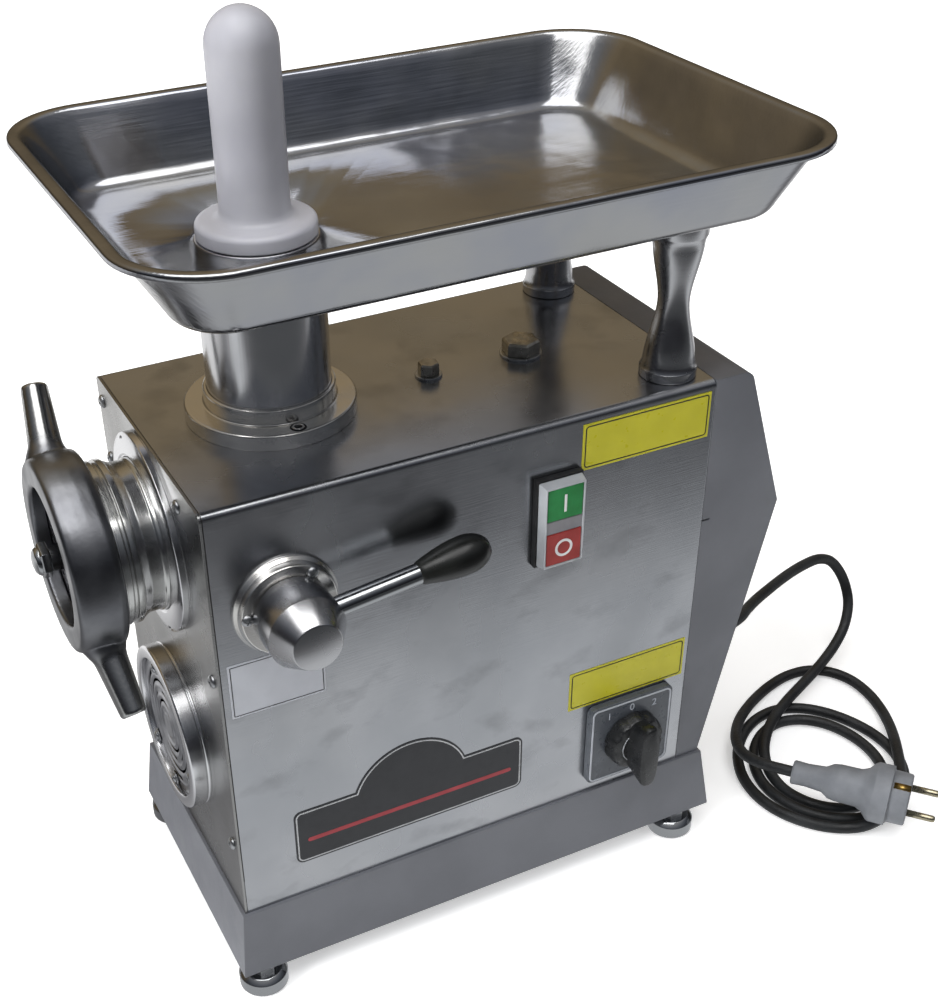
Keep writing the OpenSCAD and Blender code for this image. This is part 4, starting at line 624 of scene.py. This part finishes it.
# ------------
# The pusher: turned from white polyethylene, with a domed stem and a collar over the throat.
stem_r, stem_top = 18.5, 94.5
pusher_outline = [(0, -60), (22, -60), (24, -58), (24, 0), (31.2, 0), (32, 0.8), (32, 6)]
for x, z in (spoke(1, k, 24) for k in range(1, 7)):
    pusher_outline.append((27.5 + 4.5 * x, 6 + 3.2 * z))
pusher_outline += [(23, 9.6), (20.5, 10.4), (19.2, 11.8), (18.6, 14), (stem_r, 18), (stem_r, stem_top)]
for x, z in (spoke(stem_r, k, 48) for k in range(1, 12)):
    pusher_outline.append((x, stem_top + z))
pusher = turned("pusher_turned", pusher_outline + [(0, stem_top + stem_r)], at(neck_x, mid_d, 451.3))
# Polyethylene: milky, with light that goes a few millimetres in.
inside = {"Subsurface Weight": 0.25, "Subsurface Radius": (0.004, 0.004, 0.005), "Subsurface Scale": 1.0}
polyethylene = finish("white polyethylene", 0, ("#9e9ea5", "#ababb1", 20, 3), (0.3, 0.44, 80),
                      (1, 2, (30, 30, 1500)), 0.01, 0, inside)
settle(soften(pusher), polyethylene, "pusher_body", "white_plastic", "pusher")

# ------------
# The head: a cast barrel in a socket that ends in a flange on the end plate. The flange and the
# barrel are turned and polished.
head_axis = at(0, mid_d, 291)
flange = turned("head_flange_turned", [
    (44.5, 0), (57.6, 0), (57.6, 0.8), (58, 1.2), (58, 4.6), (57.4, 5.2), (50.6, 7), (46.2, 7), (45.2, 6),
    (44.5, 6), (44.5, 0)], head_axis, outwards)


def off_axis(tree):
    """The distance from the head's axis, in metres."""
    place = add(tree, "ShaderNodeTexCoord").outputs["Object"]
    centred = add(tree, "ShaderNodeMapping", {"Vector": place, "Location": tuple(-head_axis)})
    flat = add(tree, "ShaderNodeVectorMath", {0: centred, 1: (0, 1, 1)}, operation="MULTIPLY")
    return add(tree, "ShaderNodeVectorMath", {0: flat}, operation="LENGTH").outputs["Value"]


# Faced on a lathe: very bright, with rings about half a millimetre apart.
flange_steel = finish("faced and polished stainless", 1, "#e4e4e6", (0.14, 0.26, 45, 3))
tree, shader = nodes_of(flange_steel)
tool_rings = add(tree, "ShaderNodeTexNoise", {"W": off_axis(tree), "Scale": 2200, "Detail": 2.0},
                 noise_dimensions="1D")
relieve(tree, shader, tool_rings, 0.016, 0)
settle(soften(flange, 0.25), flange_steel, "housing", "polished_steel")

# A turned casting: bright, with the tool's marks round it.
barrel_steel = finish("turned stainless casting", 1, "#cacac8", (0.14, 0.28, 60, 3),
                      (1, 2, (2000, 14, 14)), 0.014)
socket = turned("head_socket_turned", [(44.3, -150), (48.8, -150), (48.8, 0), (44.3, 0), (44.3, -150)],
                head_axis, outwards, 96)
settle(socket, barrel_steel, "housing", "polished_steel", "head_socket")
barrel = turned("head_barrel_turned", [
    (43.2, -6), (44.1, -6), (44.1, 8), (43.9, 8.6), (43.3, 9.4), (43.3, 15.8), (43.9, 17.4), (45.4, 20),
    (45.9, 20.9), (46.9, 21.6), (47.1, 22.4), (47.1, 25), (46.6, 25.4), (45.9, 25.8), (45.9, 27.3),
    (46.6, 27.7), (47.1, 28.1), (47.1, 31), (42, 31)], head_axis, outwards, 160)
settle(soften(barrel, 0.2), barrel_steel, "head", "polished_steel")
dress(barrel_steel, "head_casting")

# Ground tool steel: grey, with fine parallel scratches.
plate_steel = finish("ground tool steel", 1, "#8c8c90", (0.24, 0.4, 150), (1, 2, (8, 900, 900)), 0.01, 0.3)
dress(plate_steel, "perforated_plate", "knife")

# ------------
# The ring nut: sand cast, blended by hand into its two tapered handles, then satin finished.
nut_outline = [(47.5, 32.6), (52.6, 32.6), (55.2, 34), (56.4, 37.5), (56.5, 44), (56.2, 50), (55.6, 55.5),
               (54.8, 58.6), (53, 60.3), (41.2, 60.3), (39.6, 59), (39.5, 51.2), (47.4, 51.2), (47.5, 32.6)]
handle_outline = [(0, 0), (13.4, 0), (12.2, 6), (10.9, 9.4), (9.9, 11.6), (9.4, 14), (7.6, 45.6), (6.6, 47),
                  (0, 47.2)]
handle_angle, sweep_back = 50, math.radians(6)
nut_parts = [turned("ring", nut_outline, head_axis, outwards, 160)]
for y, z in (spoke(1, handle_angle + half_turn) for half_turn in (0, 180)):
    radial = Vector((0, y, z))
    aim = radial * math.cos(sweep_back) + Vector((math.sin(sweep_back), 0, 0))
    foot = head_axis + (outwards * 46.2 + radial * 49) * MM
    nut_parts.append(turned("handle", handle_outline, foot, aim, 64))
ring_nut = join("ring_nut_cast", nut_parts)
melt = ring_nut.modifiers.new("melt", "REMESH")
melt.mode = "VOXEL"
melt.voxel_size = 0.8 * MM
melt.use_smooth_shade = True
blend_in = ring_nut.modifiers.new("blend", "SMOOTH")
blend_in.factor = 0.5
blend_in.iterations = 3
# Satin cast steel: grey and soft on the ring, brighter and smoother where hands hold the handles.
cast_satin = finish("satin finished casting", 1, "#7c7d81", 0.34, (500, 4), 0.02)
tree, shader = nodes_of(cast_satin)
handled = add(tree, "ShaderNodeMapRange", {"Value": off_axis(tree), "From Min": 0.058, "From Max": 0.07})
worn = add(tree, "ShaderNodeMix", {"Factor": handled, 6: mottle(tree, "#727377", "#87888b", 30, 4),
                                   7: colour("#acacab")}, data_type="RGBA")
tree.links.new(worn.outputs[2], shader.inputs["Base Color"])
smoothed = add(tree, "ShaderNodeMix", {"Factor": handled, "A": mottle(tree, 0.28, 0.42, 70, 4), "B": 0.2})
tree.links.new(smoothed.outputs["Result"], shader.inputs["Roughness"])
settle(ring_nut, cast_satin, "ring_nut_body", "cast_satin", "ring_nut")
dress(cast_satin, "auger")

# The auger's stud comes out of the perforated plate and ends in a polished domed nut.
stud_parts = []
for steps, start, outline in (
        (64, 0, [(0, 37.6), (6, 37.6), (6, 51.2), (7.6, 51.4), (7.6, 61.2), (0, 61.2)]),
        (6, 0.3, [(0, 60.8), (9.2, 60.8), (10.4, 61.6), (10.4, 65.6), (8.8, 66.8), (0, 66.8)]),
        (64, 0, [(0, 66), (8.3, 66), (8.1, 67.2), (7.2, 68.6), (5.4, 69.7), (3, 70.2), (0, 70.3)])):
    stud_parts.append(turned("stud", outline, head_axis, outwards, steps, start))
stud = join("auger_stud_domed", stud_parts)
settle(soften(stud, 0.35, 25), chrome, "auger_body", "polished_steel", "auger_stud")

# ------------
# The motor's vent: a turned ring on the end plate, with a guard pressed in rings and pierced by
# arcs that let the air through. Four screws with washers hold the guard.
vent_axis = at(0, mid_d, vent_z)
vent_ring = turned("vent_ring_turned", [
    (42, 0), (52, 0), (52, 1.2), (51.5, 1.7), (51.5, 2.4), (52, 2.9), (52, 10.6), (51.4, 11.5), (50.4, 12),
    (45.6, 12), (44.6, 11.4), (44.3, 10.4), (44.3, 7.5), (42, 7.5), (42, 0)], vent_axis, outwards)
settle(soften(vent_ring, 0.25), flange_steel, "housing", "polished_steel", "vent_ring")

guard_rings = [10, 16.5, 23, 29.5, 36]
guard_base, ridge_h, rim_r, steps = 8.2, 0.8, 38, 240
radii = [0.6 * k for k in range(1, 73)] + [44]


def guard_rise(r):
    """The guard's height over its base: low at each ring of arcs, high between them, flat at its rim."""
    if r >= rim_r:
        return 0.6 * max(0, 1 - (r - rim_r) / 3)
    if r <= 8:
        return 0.6
    away = min(abs(r - ring) for ring in guard_rings)
    return ridge_h * (1 - math.cos(min(max(away - 1.1, 0) / 2.1, 1) * math.pi)) / 2


def pierced(r, angle):
    """Whether an arc is cut here: two bridges are left in each ring, crosswise to the next ring's."""
    for number, ring in enumerate(guard_rings):
        off_bridge = abs(spoke(r, angle - (145 if number % 2 else 55))[1])
        if abs(r - ring) < 0.95 and off_bridge > (9 + ring / 5) / 2:
            return True
    return False


mesh = bmesh.new()
rows = [[mesh.verts.new((*spoke(r * MM, k, steps), (guard_base + guard_rise(r)) * MM)) for k in range(steps)]
        for r in radii]
skin(mesh, [[mesh.verts.new((0, 0, (guard_base + 0.6) * MM))], rows[0]])
for i, (inner, outer) in enumerate(zip(rows, rows[1:])):
    for k in range(steps):
        if not pierced((radii[i] + radii[i + 1]) / 2, 360 * (k + 0.5) / steps):
            n = (k + 1) % steps
            mesh.faces.new((inner[k], outer[k], outer[n], inner[n]))
# Seen from outside, the guard's own X is the machine's y and its Y is up.
guard_turn = Matrix(((0, 0, -1), (1, 0, 0), (0, 1, 0))).to_4x4()
bmesh.ops.transform(mesh, matrix=Matrix.Translation(vent_axis) @ guard_turn, verts=mesh.verts)
guard = pressed("vent_guard_pressed", mesh, outwards, 0.7)
# Pressed aluminium: pale, soft and slightly grainy.
guard_metal = finish("pressed aluminium sheet", 1, ("#a2a3a7", "#bcbdc1", 90, 4), (0.26, 0.42, 140),
                     (700, 3), 0.02)
settle(guard, guard_metal, "housing", "cast_satin", "vent_guard")
washer_outline = [(1.6, 8.9), (4.6, 8.9), (4.6, 9.7), (4.3, 10.05), (1.6, 10.05), (1.6, 8.9)]
washers = [turned("washer", washer_outline, at(0, mid_d + y, vent_z + z), outwards, 40)
           for y, z in vent_clips]
settle(join("guard_washers", washers), zinc, "housing", "zinc")

# ------------
# The head lock on the front: a bevelled flange, a hub with a cone and a flat nose, and a chromed
# lever with a black egg-shaped grip. Turning it clamps the barrel.
lock_axis, lever_foot = at(lock_x, 0, lock_z), at(lock_x, -19.5, lock_z)
lever_aim = Vector((math.cos(math.radians(7)), 0, math.sin(math.radians(7))))
lock_flange = turned("lock_flange_turned", [
    (7.1, 0), (30.5, 0), (30.5, 1.4), (30, 2.4), (28.7, 3.6), (28.3, 4.4), (28, 6.6), (27, 8), (7.1, 8),
    (7.1, 0)], lock_axis, forward)
settle(soften(lock_flange, 0.35), turned_steel, "housing", "polished_steel", "lock_flange")
lock_hub = turned("lock_hub_turned", [
    (0, 8.4), (21, 8.4), (22, 9.4), (22, 30.6), (21.8, 31.2), (13.9, 44.7), (13.3, 45), (0, 45)],
    lock_axis, forward)
settle(soften(lock_hub, 0.35), mirror_steel, "lock_body", "polished_steel", "lock_hub")
rod = turned("lock_lever_rod", [(0, 18), (5.8, 18), (5.8, 74), (0, 74)], lever_foot, lever_aim, 64)
settle(soften(rod, 0.2), chrome, "lock_body", "polished_steel", "lock_lever")
grip_r, grip_foot, widest = 11, 70.8, 0.64
grip_outline = [(0, 70), (5.6, 70), (6.4, 70.6)]
for t in (k / 25 for k in range(1, 25)):
    if t < widest:
        r = 6.6 + (grip_r - 6.6) * math.sin(t / widest * math.pi / 2)
    else:
        r = grip_r * math.sqrt(1 - ((t - widest) / (1 - widest)) ** 2.1)
    grip_outline.append((r, grip_foot + 43.2 * t))
grip = turned("lock_grip_moulded", grip_outline + [(0, 114)], lever_foot, lever_aim, 96)
# Phenolic: black and hard, with a low gloss that handling has broken up.
phenolic = finish("moulded black phenolic", 0, ("#0e0f0e", "#181917", 50), (0.26, 0.42, 90, 4), (260,), 0.02)
settle(soften(grip, 0.3, 50), phenolic, "lock_body", "black_plastic", "lock_grip")

# ------------
# The push button station: a black gasket, a grey moulded frame, and a green and a red cap with a
# plain grey piece between them. The caps carry the usual I and O.
station = (194, 261, 222, 316)
station_low, _, station_high, _ = station
mark_x = (station_low + station_high) / 2


def band(name, outer, inner, back_y, front_y, brow=None):
    """A closed band between two upright outlines with as many points; brow is the outer one in front."""
    mesh = bmesh.new()
    loops = [[mesh.verts.new(at(x, y, z)) for x, z in outline] for outline, y in
             ((outer, back_y), (brow or outer, front_y), (inner, front_y), (inner, back_y))]
    skin(mesh, loops + loops[:1])
    bmesh.ops.recalc_face_normals(mesh, faces=mesh.faces)
    return finished(name, mesh)


def moulded(name, dark, light, roughness):
    """A plastic or a film: even, with a faint spark texture and a slightly uneven colour."""
    return finish(name, 0, (dark, light, 70), (roughness - 0.06, roughness + 0.08, 200), (1400,), 0.01)


# The plastics are even and softly shining, the gasket is duller, and the ink is a flat white.
grey_abs = moulded("moulded light grey ABS", "#9fa2a6", "#aaadb1", 0.34)
gasket = moulded("black gasket rubber", "#161617", "#232324", 0.5)
mid_abs = moulded("mid grey ABS", "#77767a", "#848387", 0.4)
green_abs = moulded("green button plastic", "#187134", "#208342", 0.38)
red_abs = moulded("red button plastic", "#8e2b27", "#a23632", 0.38)
white_ink = moulded("white pad printing", "#d2d2d2", "#e2e2e2", 0.45)
collar = band("station_gasket", rectangle(*station, -1.2), rectangle(*station, 2.2), 0, -4)
settle(soften(collar, 0.6), gasket, "housing", "black_plastic", "station_collar")
bezel = band("station_bezel", rectangle(*station), rectangle(*station, 2.4), -4, -11,
             rectangle(*station, 1.2))
settle(soften(bezel, 0.8, segments=3), grey_abs, "housing", "grey_plastic", "station_frame")
bridge = plate("station_middle", rectangle(station_low + 2.3, 284.4, station_high - 2.3, 292.6),
               -0.3, -10.2)
settle(soften(bridge, 0.3), mid_abs, "housing", "grey_plastic", "station_bridge")
for name, low_z, plastic, body, slot in (("start_button", 293.0, green_abs, "start_body", "green_plastic"),
                                          ("stop_button", 263.5, red_abs, "stop_body", "red_plastic")):
    outline = rectangle(station_low + 2.7, low_z, station_high - 2.7, low_z + 20.6)
    cap = plate(name + "_cap", outline, -3.6, -10.6)
    settle(soften(cap, 0.5), plastic, body, slot, name)
start_mark = plate("start_mark", rectangle(mark_x - 0.8, 297.7, mark_x + 0.8, 308.9), -10.5, -10.75)
settle(soften(start_mark, 0.1), white_ink, "start_body", "white_plastic")
stop_mark = turned("stop_mark", [(4.1, 10.5), (5.7, 10.5), (5.7, 10.75), (4.1, 10.75), (4.1, 10.5)],
                   at(mark_x, 0, 273.8), forward, 72)
settle(stop_mark, white_ink, "stop_body", "white_plastic")

# ------------
# The cam switch: a grey plate under a clear raised border, with 1 0 2 pad printed on it, and a
# black knob with a scalloped skirt and a grip bar.
cam_x, cam_z = 269, 106
cam = (cam_x - 31, cam_z - 31, cam_x + 31, cam_z + 31)
# The plate is a smooth dark silver, the clear border is pale grey as a painted sheen, the ink is pale and
# the knob is glossy black.
plate_grey = moulded("silver grey switch plate", "#4a4e54", "#53575d", 0.3)
border_painted_sheen = moulded("clear plastic border with painted sheen", "#a3a7ae", "#b0b4bb", 0.2)
cam_ink = moulded("pale pad printing", "#a6abb4", "#bcc1ca", 0.5)
knob_black = moulded("black nylon knob", "#131415", "#202122", 0.28)
cam_plate = plate("cam_switch_plate", rectangle(*cam, 0, 5), 0, -5.4)
settle(soften(cam_plate, 0.9, segments=3), plate_grey, "housing", "grey_plastic", "cam_plate_frame")
border = band("cam_switch_border", rectangle(*cam, 1.4, 4), rectangle(*cam, 2.6, 2.8), -5.2, -5.9)
settle(soften(border, 0.2), border_painted_sheen, "housing", "grey_plastic")

# The figures: text made a thin mesh and then stood upright on the plate.
figures = []
for text, x, z in (("1", -17, 21.5), ("0", 0, 23.6), ("2", 17, 21.5)):
    curve = bpy.data.curves.new(text, "FONT")
    curve.body = text
    curve.size = 7.5 * MM
    curve.extrude = 0.05 * MM
    curve.align_x = "CENTER"
    curve.align_y = "CENTER"
    written = new_object(text, curve)
    thin = baked(written)
    bpy.data.objects.remove(written)
    spot = Matrix.Translation(at(cam_x + x, -5.45, cam_z + z))
    thin.transform(spot @ Matrix.Rotation(math.pi / 2, 4, "X"))
    figures.append(new_object(text, thin))
settle(join("cam_switch_figures", figures), cam_ink, "housing", "white_plastic")

# The knob: ten flutes round its skirt, and a bar whose levels are rounded rectangles.
skirt_loops, bar_loops = [], []
for y, swell, depth in ((-6.3, 20.3, 0.9), (-8.5, 20.4, 1.1), (-13.5, 19.4, 1.3), (-15.6, 18.4, 1.2),
                        (-16.4, 16.6, 0.6), (-16.4, 12, 0)):
    flutes = [swell - depth * (0.5 + 0.5 * spoke(1, 10 * k, 120)[0]) ** 2 for k in range(120)]
    legs = [spoke(r, k, 120) for k, r in enumerate(flutes)]
    skirt_loops.append([at(cam_x + x, y, cam_z + z) for x, z in legs])
for y, half_w, half_l, shift in ((-15, 9.4, 19, 0), (-18.5, 8.4, 20.4, 0), (-23, 7.6, 22.6, 1),
                                 (-27.5, 7.2, 24, 1.2), (-29.6, 6.4, 23.4, 1.2), (-30.3, 5, 22, 1.2)):
    bar_loops.append([at(cam_x + half_w * math.copysign(abs(c) ** 0.6, c), y,
                         cam_z + half_l * math.copysign(abs(s) ** 0.8, s) - shift)
                      for c, s in (spoke(1, k, 64) for k in range(64))])
knob = join("cam_switch_knob", [lofted("skirt", skirt_loops), lofted("bar", bar_loops)])
settle(soften(knob, 0.4, 40), knob_black, "knob_body", "black_plastic", "cam_knob")
pointer = band("knob_ring", rectangle(*cam, 18.4, 12.5, 16), rectangle(*cam, 19, 11.9, 16), -16.2, -16.75)
settle(soften(pointer, 0.1), grey_abs, "knob_body", "grey_plastic")

# ------------
# The label plates: printed film on the front sheet. Each is left blank inside a thin frame line.
# The films are flat bright colours under a thin gloss, and the inks on them are a little duller.
yellow_film = moulded("yellow printed film", "#b9b322", "#bfb927", 0.32)
white_film = moulded("white printed film", "#b0b3ba", "#b5b8bf", 0.34)
black_film = moulded("black printed film", "#1f2024", "#222327", 0.36)
line_ink = moulded("black screen ink", "#191918", "#232322", 0.45)
grey_ink = moulded("pale grey screen ink", "#a2a4a6", "#b1b3b5", 0.4)
red_ink = moulded("red screen ink", "#942b33", "#a4353d", 0.4)
dress(yellow_film, "caution_plate", "switch_plate")
dress(white_film, "instruction_plate")
dress(black_film, "badge_plate")
frames = []
for name, corners, gap, r, width in (("caution", (224, 314, 309, 343), 1.3, 2.2, 0.75),
                                     ("switch", (224, 139, 309, 168), 1.3, 2.2, 0.75),
                                     ("note", (6, 216.5, 62, 252.5), 1.0, 0.8, 0.55)):
    frames.append(band(name, rectangle(*corners, gap, r, 6),
                       rectangle(*corners, gap + width, max(r - width, 0.2), 6), -0.35, -0.46))
settle(join("label_frame_lines", frames), line_ink, "housing", "black_label")

badge = (36, 91, 191, 132)
arch_half, arch_rise = 37, 26
arch_r = (arch_half ** 2 + arch_rise ** 2) / (2 * arch_rise)
arch_z = badge[3] + arch_rise - arch_r


def badge_outline(inset):
    """The name plate: a bar with round corners and an arch over its middle."""
    points = rectangle(*badge, inset, max(5 - inset, 0.5), 6)
    reach = arch_r - inset
    start = math.asin((badge[3] - inset - arch_z) / reach)
    middle = (badge[0] + badge[2]) / 2
    turns = [start + (math.pi - 2 * start) * k / 32 for k in range(33)]
    arch = [(middle + reach * math.cos(t), arch_z + reach * math.sin(t)) for t in turns]
    return points[:7] + arch + points[7:]


badge_line = band("badge_frame_line", badge_outline(1.1), badge_outline(2.0), -0.35, -0.48)
settle(badge_line, grey_ink, "housing", "white_label")
stripe = plate("badge_stripe", rectangle(44, 106.5, 183, 109.5, 0, 1.4), -0.35, -0.47)
settle(stripe, red_ink, "housing", "red_plastic")

# ------------
# The gearbox's two oil plugs on the top sheet: forged hexagon heads with a chamfer, screwed in
# over plain washers.
washer_h = 1.5
plugs, rings = [], []
for x, corner_r, height, washer_r in ((170.6, 6.5, 7, 8), (231.5, 11.5, 8, 12.5)):
    bore_r = corner_r * 0.6
    plugs.append(turned("plug", [(0, 0), (corner_r, 0), (corner_r, height - 1.3), (corner_r * 0.88, height),
                                 (0, height)], at(x, 84, body_top + washer_h), steps=6, start=0.35))
    rings.append(turned("washer", [(bore_r, 0), (washer_r, 0), (washer_r, 1.2), (washer_r - 0.3, washer_h),
                                   (bore_r, washer_h), (bore_r, 0)], at(x, 84, body_top), steps=64))
# Plated forgings: warm grey and cloudy with oil.
plug_steel = finish("plated forged steel", 1, ("#a29d92", "#c3beb2", 180, 4), (0.22, 0.42, 200),
                    (600,), 0.02)
settle(soften(join("oil_plug_heads", plugs), 0.4, 20), plug_steel, "housing", "zinc", "oil_plugs")
settle(soften(join("oil_plug_washers", rings), 0.15), zinc, "housing", "zinc", "plug_washers")

# ------------
# Inside the housing, and seen only when pieces are taken off: dull dark cast iron for the gearbox
# and its gears, brown varnished copper on the stator, and soft yellow bronze bearings.
cast_iron = finish("machined cast iron", 1, ("#606264", "#76787a", 60, 5), 0.45, (300, 4), 0.06, 0.5)
dress(cast_iron, "gearbox_housing", "gearbox_cover", "output_gear", "lay_shaft", "motor_rotor")
copper = finish("varnished copper winding", 0.7, ("#7a4d28", "#9a683a", 1, 2, (20, 900, 900)), 0.4)
dress(copper, "motor_stator")
dress(finish("bearing bronze", 1, "#a08a5a", (0.28, 0.44, 120)), "shaft_bearings")
dress(knob_black, "switch_blocks", "cooling_fan")
dress(grey_abs, "electrics")

# ------------
# The floor: a pale matt worktop. The camera sees it glow, weakly near the machine and up to white
# away from it. Metal sees not the lit floor but a glowing ramp along y, a painted reflection: bright
# before the machine, painted shade under it, dark far in front and white far behind it.
data = bpy.data.meshes.new("floor")
data.from_pydata([(-3, -3, 0), (3, -3, 0), (3, 3, 0), (-3, 3, 0)], [], [(0, 1, 2, 3)])
floor = new_object("floor", data)
floor_paint = finish("pale worktop with painted reflections", 0, "#f6f6f6", 0.9,
                     more={"Specular IOR Level": 0, "Emission Color": (1, 1, 1, 1)})
tree, shader = nodes_of(floor_paint)
ray = add(tree, "ShaderNodeLightPath").outputs
spot = add(tree, "ShaderNodeTexCoord").outputs["Object"]
outward = add(tree, "ShaderNodeVectorMath", {0: spot}, operation="LENGTH").outputs["Value"]
fade = add(tree, "ShaderNodeMapRange", {"Value": outward, "From Min": 0.45, "From Max": 1.1,
                                        "To Min": 0.42, "To Max": 1.0})
lift = add(tree, "ShaderNodeMath", {0: ray["Is Camera Ray"], 1: fade}, operation="MULTIPLY")
tree.links.new(lift.outputs["Value"], shader.inputs["Emission Strength"])
# Painted reflections: glossy rays see this ramp along y as a glow, bright before the machine, painted shade
# under it and dark far in front.
far = add(tree, "ShaderNodeSeparateXYZ", {"Vector": spot}).outputs["Y"]
depth = add(tree, "ShaderNodeMapRange", {"Value": far, "From Min": -0.7, "From Max": 0.5})
reach = add(tree, "ShaderNodeValToRGB", {"Fac": depth}, (
    (0.0, "#56585a"), (0.17, "#747476"), (0.26, "#c4c6c8"), (0.33, "#e4e7e9"),
    (0.48, "#e4e6e8"), (0.58, "#a2a2a4"), (0.68, "#868688"), (1.0, "#ffffff")))
mirrored = add(tree, "ShaderNodeEmission", {"Color": reach, "Strength": 1.0})
shown = add(tree, "ShaderNodeMixShader", {0: ray["Is Glossy Ray"], 1: shader.outputs["BSDF"], 2: mirrored})
tree.links.new(shown.outputs["Shader"], tree.nodes["Material Output"].inputs["Surface"])
floor.data.materials.append(floor_paint)

# ------------
# The surroundings, which only metal shows: a dim room with a pale ceiling, and a warm wall behind
# the machine. The camera sees plain white.
world = bpy.data.worlds.new("room")
world.use_nodes = True
bpy.context.scene.world = world
tree = world.node_tree
tree.nodes.clear()
direction = add(tree, "ShaderNodeTexCoord").outputs["Generated"]
split = add(tree, "ShaderNodeSeparateXYZ", {"Vector": direction}).outputs
room = add(tree, "ShaderNodeValToRGB", {"Fac": split["Z"]}, (
    (0.0, "#26262a"), (0.2, "#3a3b40"), (0.42, "#565a60"), (0.6, "#80838a"), (0.78, "#b0b0b2"),
    (1.0, "#c8c8c8")))
wall = add(tree, "ShaderNodeValToRGB", {"Fac": split["Z"]}, (
    (0.0, "#4a4336"), (0.25, "#756853"), (0.45, "#958469"), (0.62, "#a39378"), (0.8, "#aaa498"),
    (1.0, "#bcbcbc")))
towards_wall = add(tree, "ShaderNodeMapRange", {"Value": split["Y"], "From Min": 0.1, "From Max": 0.55})
around = add(tree, "ShaderNodeMix", {"Factor": towards_wall, 6: room, 7: wall}, data_type="RGBA").outputs[2]
mirrored = add(tree, "ShaderNodeBackground", {"Color": around, "Strength": 1.0})
white = add(tree, "ShaderNodeBackground", {"Color": (1, 1, 1, 1), "Strength": 1.0})
camera_ray = add(tree, "ShaderNodeLightPath").outputs["Is Camera Ray"]
shown = add(tree, "ShaderNodeMixShader", {0: camera_ray, 1: mirrored, 2: white})
add(tree, "ShaderNodeOutputWorld", {"Surface": shown})

# ------------
# The lamps: large and soft, one overhead, one far to the left and a weak window on the right.
for name, place, width, height, power in (("overhead", (-0.2, -0.3, 1.9), 1.6, 1.6, 24),
                                          ("left_side", (-2.0, -0.35, 1.0), 1.0, 1.2, 46),
                                          ("window", (1.4, -1.6, 1.5), 0.5, 1.0, 5)):
    lamp = new_object(name, bpy.data.lights.new(name, "AREA"))
    lamp.data.shape = "RECTANGLE"
    lamp.data.size = width
    lamp.data.size_y = height
    lamp.data.energy = power
    aim = Vector((0, 0, 0.2)) - Vector(place)
    lamp.matrix_world = Matrix.Translation(place) @ aim.to_track_quat("-Z", "Y").to_matrix().to_4x4()
    lamp.visible_glossy = name == "overhead"

bpy.context.scene.view_settings.view_transform = "Standard"
